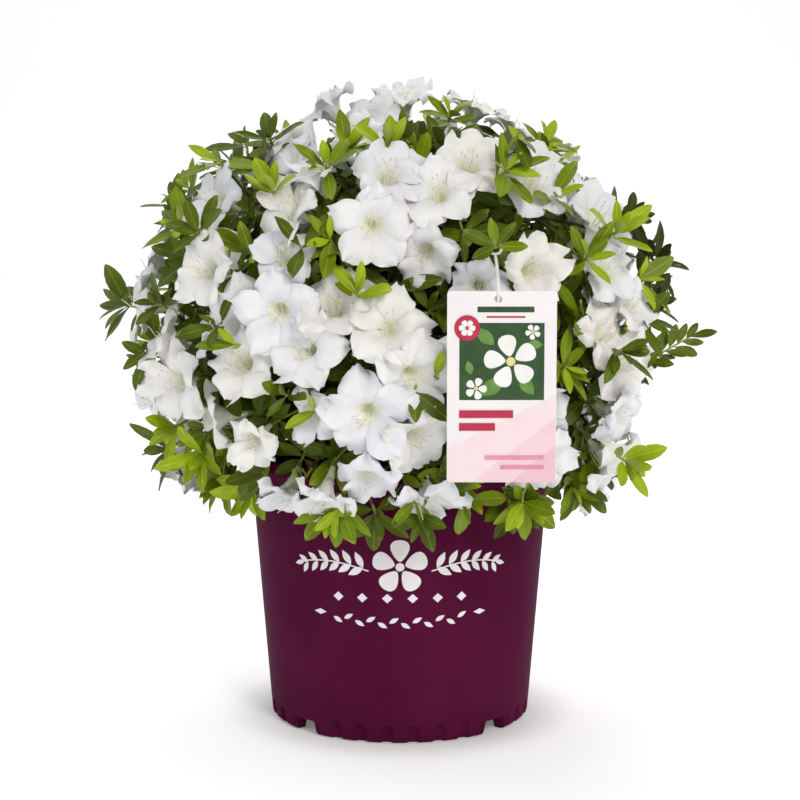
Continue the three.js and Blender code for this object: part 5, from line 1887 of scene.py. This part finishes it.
def limb_lines(masses):
    """The main stem, its limbs and the boughs that run on into the masses."""
    ground = Vector((0, 0, POT_HEIGHT - MIX_BELOW_RIM + MIX_MOUND + CLEAR))
    head = ground + Vector((STEM_LEAN, STEM_LEAN / 2, STEM_HEIGHT))
    knots = [ground, ground + Vector((0.2, 0, 5)), ground + UP * 14, ground.lerp(head, 0.6)]
    knots += [head, head + UP * 7]
    girths = [STEM_FOOT_RADIUS] + [STEM_RADIUS * share for share in (1.35, 1.08, 1, 0.98, 0.5)]
    lines = [Path(knots, girths)]
    knobs = []
    for i in range(LIMB_COUNT):
        bearing = math.radians(-90) + 2 * math.pi * i / LIMB_COUNT
        knob = head + bearing_vector(bearing, 0) * LIMB_REACH + UP * LIMB_RISE
        knobs.append((knob, bearing))
        arrival = bearing_vector(bearing, math.radians(62))
        lines.append(bend_line(head, knob, arrival, LIMB_RADIUS, LIMB_END_RADIUS))
    for mass in masses:
        arrival = (mass.site - mass.entry).normalized()
        start = head
        if mass.ring != "top":
            turned = [abs(math.remainder(bearing - mass.bearing, 2 * math.pi)) for knob, bearing in knobs]
            start = knobs[turned.index(min(turned))][0]
        lines.append(bend_line(start, mass.entry, arrival, BOUGH_RADIUS, BOUGH_END_RADIUS))
    return lines


def bend_line(start, end, arrival, first, last):
    """A limb that bends into the direction in which it arrives."""
    reach = (end - start).length
    leave = (end - arrival * reach * 0.4 - start).normalized()
    points, radii = [], []
    for i in range(9):
        t = i / 8
        near = start.lerp(start + leave * reach * 0.4, t)
        middle = (start + leave * reach * 0.4).lerp(end - arrival * reach * 0.3, t)
        far = (end - arrival * reach * 0.3).lerp(end, t)
        points.append(near.lerp(middle, t).lerp(middle.lerp(far, t), t))
        radii.append(first + (last - first) * t)
    return Path(points, radii)


def dress_pot():
    # Injection-moulded polypropylene: one even plum with a satin skin that shines only softly.
    # The grain of its mould is too fine to show, so it is drawn 0.9 mm wide
    skin = {"relief": 0.03, "pitch": 0.9, "Specular_IOR_Level": 0.015}
    plum = mottled("plum_polypropylene", ("#4f1133", "#581639"), 90, 0.55, **skin)
    columns = FLUTE_COUNT * COLUMNS_PER_FLUTE
    pot = new_object(ring_profile_mesh("nursery_pot", columns, pot_rows))
    finish_piece(pot, ["pot"], plum)
    # Screen-printed ink: thin, opaque and nearly matt, so that it stands out white on the plum
    white_print = mottled("white_screen_print", ("#f4f1f2", "#ebe6e9"), 20, 0.5, relief=0.02, pitch=1.2)
    finish_piece(new_object(pot_print()), [], white_print)


def dress_mix():
    # Composted bark and peat, screened: dark, with no gloss, in crumbs of two to four millimetres
    peat = mottled("peat_and_bark_mix", ("#2a1c13", "#4a3524"), 4, 0.95, relief=0.9, pitch=2.4)
    mix = new_object(ring_profile_mesh("potting_mix_bed", MIX_COLUMNS, mix_rows))
    finish_piece(mix, ["potting_mix"], peat)
    # Bark chips, broken and weathered: dull, a little paler than the peat, with fibres 1.5 mm apart
    chip_bark = mottled("composted_bark", ("#5a412c", "#2e2016"), 5, 0.9, relief=0.4, pitch=1.5)
    length, width, height = CRUMB_HALF_SIZE
    signs = [(x, y, z) for x in (-1, 1) for y in (-1, 1) for z in (-1, 1)]
    corners = [Vector((x * length, y * width, z * height)) for x, y, z in signs]
    faces = [[0, 1, 3, 2], [4, 6, 7, 5], [0, 4, 5, 1], [2, 3, 7, 6], [0, 2, 6, 4], [1, 5, 7, 3]]
    crumb = bpy.data.objects.new("crumb", mesh_from("crumb", corners, faces))
    top = POT_HEIGHT - MIX_BELOW_RIM + 0.6
    points, bed = [], []
    for radius in CRUMB_RINGS:
        rise = (MIX_MOUND - 1) * (1 - smooth(radius, STEM_FOOT_RADIUS, CRUMB_RINGS[-1]))
        for k in range(CRUMB_COLUMNS):
            across, deep = on_circle(0, 0, radius, 2 * math.pi * k / CRUMB_COLUMNS)
            points.append(Vector((across, deep, top + rise)))
    for start in (0, CRUMB_COLUMNS):
        for k in range(CRUMB_COLUMNS):
            low, high = start + k, start + (k + 1) % CRUMB_COLUMNS
            bed.append([low, low + CRUMB_COLUMNS, high + CRUMB_COLUMNS, high])
    crumbs = new_object(mesh_from("bark_crumbs", points, bed))
    values = {"Crumb": crumb, "Density": CRUMBS_PER_SQUARE_METRE, "Seed": 5, "Finish": chip_bark}
    run_tree(crumbs, crumb_tree(), values)
    finish_piece(crumbs, ["potting_mix"])


def dress_wood(masses, growth, woody_nodes, foliage_nodes):
    # Azalea bark, grown: grey-brown and dull, in ridges 2.5 mm apart that run along the limb
    ridges = {"relief": 0.5, "pitch": 2.5, "stretch": (1, 1, 0.25)}
    bark = mottled("azalea_bark", ("#6d5844", "#3f3126"), 7, 0.88, **ridges)
    limbs = line_mesh("stem_and_boughs", limb_lines(masses))
    values = {"Step": LIMB_STEP * MM, "Relief": BARK_SWING * MM, "Grain": BARK_GRAIN * MM}
    run_tree(limbs, bark_tree(), {"Sides": LIMB_SIDES, **values, "Finish": bark})
    finish_piece(limbs, woody_nodes)
    tree = twig_tree()
    # Last year's twig: a thin brown bark, dull and nearly smooth
    old_twig = mottled("woody_twig", ("#6b5a36", "#46402a"), 10, 0.8, relief=0.15, pitch=1.5)
    # This year's shoot: a smooth yellow-green skin with a soft sheen
    new_shoot = mottled("green_shoot", ("#9da545", "#849736"), 14, 0.55, relief=0.05, pitch=1.5)
    kinds = (("twigs", growth.wood, old_twig), ("green_shoots", growth.green, new_shoot))
    for name, paths, finish in kinds:
        twigs = line_mesh(name, paths)
        run_tree(twigs, tree, {"Sides": TWIG_SIDES, "Thickness": 1.0, "Finish": finish})
        finish_piece(twigs, foliage_nodes)


def dress_spray(name, tree, shapes, places, finishes, nodes):
    """A piece of many small shapes on points, finished part by part."""
    piece = point_cloud(name, places)
    values = {"Shapes": shapes, "Size": 1.0}
    values.update({f"Finish {i}": material for i, material in enumerate(finishes)})
    run_tree(piece, tree, values)
    finish_piece(piece, nodes)


# For each tone of leaf: two colours of its blade, its rib, its underside and its roughness. The darkest tone
# is painted shadow: a dark green for leaves that stand where shadow falls
LEAF_TONES = {
    "shade": ("#2c3507", "#3b460f", "#4e5820", "#4e5626", 0.5),
    "mature": ("#4a5a07", "#627513", "#7b8830", "#78833c", 0.42),
    "mid": ("#687d09", "#819816", "#99a936", "#919f44", 0.42),
    "young": ("#8ba40f", "#acc321", "#bdcc46", "#a9b950", 0.44),
}

PETAL_TONES = {
    "cool": ("#eef0f6", "#f6f7fa"),
    "clear": ("#f6f6f8", "#fbfbfb"),
    "warm": ("#f6f4ee", "#faf9f5"),
}


def dress_leaves(growth, foliage_nodes):
    shapes = shape_collection("leaf_shapes", [leaf_mesh(i) for i in range(LEAF_SHAPES)])
    tree = spray_tree("leaves", 3)
    for tone, leaves in growth.leaves.items():
        places = [(x.foot, x.along, x.face, (x.width, x.length, x.length), x.shape) for x in leaves]
        finishes = leaf_finishes(tone, *LEAF_TONES[tone])
        dress_spray(f"leaves_{tone}", tree, shapes, places, finishes, foliage_nodes)


def dress_blossom(growth, foliage_nodes):
    shapes = shape_collection("bloom_shapes", [bloom_mesh(i) for i in range(BLOOM_SHAPES)])
    tree = spray_tree("blossom", 7)
    # The funnel's tissue is thin, so green shows through it low down and less towards the lobes
    throat = mottled("petal_throat", ("#e2e7bf", "#eaedce"), 9, 0.6)
    base = mottled("petal_base", ("#f0f2e0", "#f5f5ec"), 12, 0.6)
    # Tan pigment in the top lobe, as matt as the petal
    freckle = mottled("petal_freckle", ("#cf9468", "#d8b487"), 5, 0.6)
    # Filaments are pale and a little waxy, and ripe anthers are dry, brown and dull
    filament = mottled("white_filament", ("#f3f0e4", "#e9e6cf"), 9, 0.5)
    anther = mottled("brown_anther", ("#cdb890", "#dccba6"), 4, 0.7)
    # The calyx is leafy: a soft yellow-green without gloss
    calyx = mottled("green_calyx", ("#8fa648", "#7a9638"), 6, 0.6)
    for tone, blooms in growth.blooms.items():
        # Azalea petal: matt, nearly white and so thin that light spreads 1.5 mm inside it.
        # Its crinkles are 2.4 mm apart
        skin = {"relief": 0.32, "pitch": 2.4, "Subsurface_Weight": 0.28}
        skin.update({"Subsurface_Scale": 0.0015, "Subsurface_Radius": (1, 1, 0.94)})
        petal = mottled(f"azalea_petal_{tone}", PETAL_TONES[tone], 24, 0.58, **skin)
        finishes = (petal, throat, freckle, filament, anther, calyx, base)
        places = [(b.foot, b.aim, b.up, [b.radius / BLOOM_RADIUS] * 3, b.shape) for b in blooms]
        dress_spray(f"blooms_{tone}", tree, shapes, places, finishes, foliage_nodes)
    bud_shapes = shape_collection("bud_shapes", [bud_mesh()])
    # A closed bud: cream petals rolled tight over a green foot, smooth with a faint sheen
    cream = mottled("bud_cream", ("#e9edc6", "#d9e3a4"), 8, 0.5)
    bud_green = mottled("bud_green", ("#a8bd5c", "#90aa45"), 8, 0.55)
    places = [(b.foot, b.up, b.aim, [b.radius] * 3, 0) for b in growth.buds]
    dress_spray("buds", spray_tree("buds", 2), bud_shapes, places, (cream, bud_green), foliage_nodes)


def dress_label():
    # Coated board: even white under a thin clear layer, which gives a soft gloss
    card = mottled("coated_card", ("#fbf8f9", "#f6f2f4"), 60, 0.32, Coat_Weight=0.3)
    finish_piece(new_object(card_mesh()), ["plant_label"], card)
    # Moulded polyethylene: milky white and waxy
    strap = mottled("white_polyethylene", ("#f2f2f0", "#e6e6e2"), 12, 0.45)
    straps = line_mesh("label_strap", strap_paths())
    run_tree(straps, twig_tree(), {"Sides": STRAP_SIDES, "Thickness": 1.0, "Finish": strap})
    finish_piece(straps, ["plant_label"])
    # Offset inks: flat and even, a little glossier than the pot's print
    finishes = {name: mottled(name, colours, 8, 0.35) for name, colours in INKS.items()}
    for i, (ink, shapes, layer) in enumerate(LABEL_PRINT):
        mesh = raised_shapes(f"label_print_{i + 1}", shapes, on_label, INK_RISE * (1 + layer), INK_SINK)
        finish_piece(new_object(mesh), [], finishes[ink])


def studio_paper():
    """Matt white paper with a painted glow that is weaker near the pot, so that the shadow at its foot stays
    and a painted shadow deepens it.
    """
    paper = mottled("pale_studio_paper", ("#f6f6f6", "#f4f4f5"), 400, 0.9)
    tree = paper.node_tree
    place = add_node(tree, "ShaderNodeTexCoord").outputs["Object"]
    away = add_node(tree, "ShaderNodeVectorMath", {0: place}, operation="LENGTH")
    reach = {"Value": away.outputs["Value"], "From Min": PAINTED_SHADOW_RADII[0], "From Max": PAINTED_SHADOW_RADII[1]}
    reach.update({"To Min": SHADOW_AND_GLOW_STRENGTHS[0], "To Max": SHADOW_AND_GLOW_STRENGTHS[1]})
    # Painted light: the paper glows, less near the pot, which paints a shadow round its foot
    glow = add_node(tree, "ShaderNodeMapRange", reach, interpolation_type="SMOOTHSTEP")
    tree.links.new(glow.outputs[0], tree.nodes["Principled BSDF"].inputs["Emission Strength"])
    return paper


def lay_paper():
    """A pale floor that curves up behind; its paper glows with painted light."""
    points, faces = [], []
    for y, z in PAPER_PROFILE:
        points += [Vector((-PAPER_HALF_WIDTH, y, z)) / MM, Vector((PAPER_HALF_WIDTH, y, z)) / MM]
    for i in range(len(PAPER_PROFILE) - 1):
        faces.append([2 * i, 2 * i + 1, 2 * i + 3, 2 * i + 2])
    floor = new_object(mesh_from("pale_floor", points, faces))
    floor.data.materials.append(studio_paper())


def turn_to(obj, place, aim):
    """Puts a lamp or camera at a place and points it at an aim."""
    obj.location = place
    obj.rotation_mode = "QUATERNION"
    obj.rotation_quaternion = (Vector(aim) - Vector(place)).to_track_quat("-Z", "Y")
    bpy.context.scene.collection.objects.link(obj)


def light_studio():
    """Soft light from large lamps, and a faint even light from all round."""
    world = bpy.data.worlds.new("studio")
    world.use_nodes = True
    sky = world.node_tree.nodes["Background"]
    sky.inputs["Color"].default_value = linear("#fbfcff")
    sky.inputs["Strength"].default_value = SKY_STRENGTH
    bpy.context.scene.world = world
    for name, place, size, power, colour in LAMPS:
        light = bpy.data.lights.new(name, "AREA")
        light.size = size
        light.energy = power
        light.color = linear(colour)[:3]
        turn_to(bpy.data.objects.new(name, light), place, LAMP_AIM)
    bpy.context.scene.view_settings.view_transform = "Standard"


def set_up_camera():
    """The photograph's view."""
    camera = bpy.data.objects.new("camera", bpy.data.cameras.new("camera"))
    camera.data.sensor_width = SENSOR_WIDTH
    camera.data.lens = LENS
    turn_to(camera, CAMERA_PLACE, CAMERA_AIM)
    bpy.context.scene.camera = camera


for leftover in list(bpy.data.objects):
    bpy.data.objects.remove(leftover)
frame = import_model()
POT_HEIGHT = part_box("pot")[1].z / MM
foliage = sorted(name for name in frame["nodes"] if name.startswith("foliage_"))
woody = sorted(name for name in frame["nodes"] if name.startswith(("main_stem", "limb_", "bough_")))

crown = lay_out_masses()
grown = grow_crown(crown)
dress_pot()
dress_mix()
dress_wood(crown, grown, woody, foliage)
dress_leaves(grown, foliage)
dress_blossom(grown, foliage)
dress_label()
lay_paper()
light_studio()
set_up_camera()
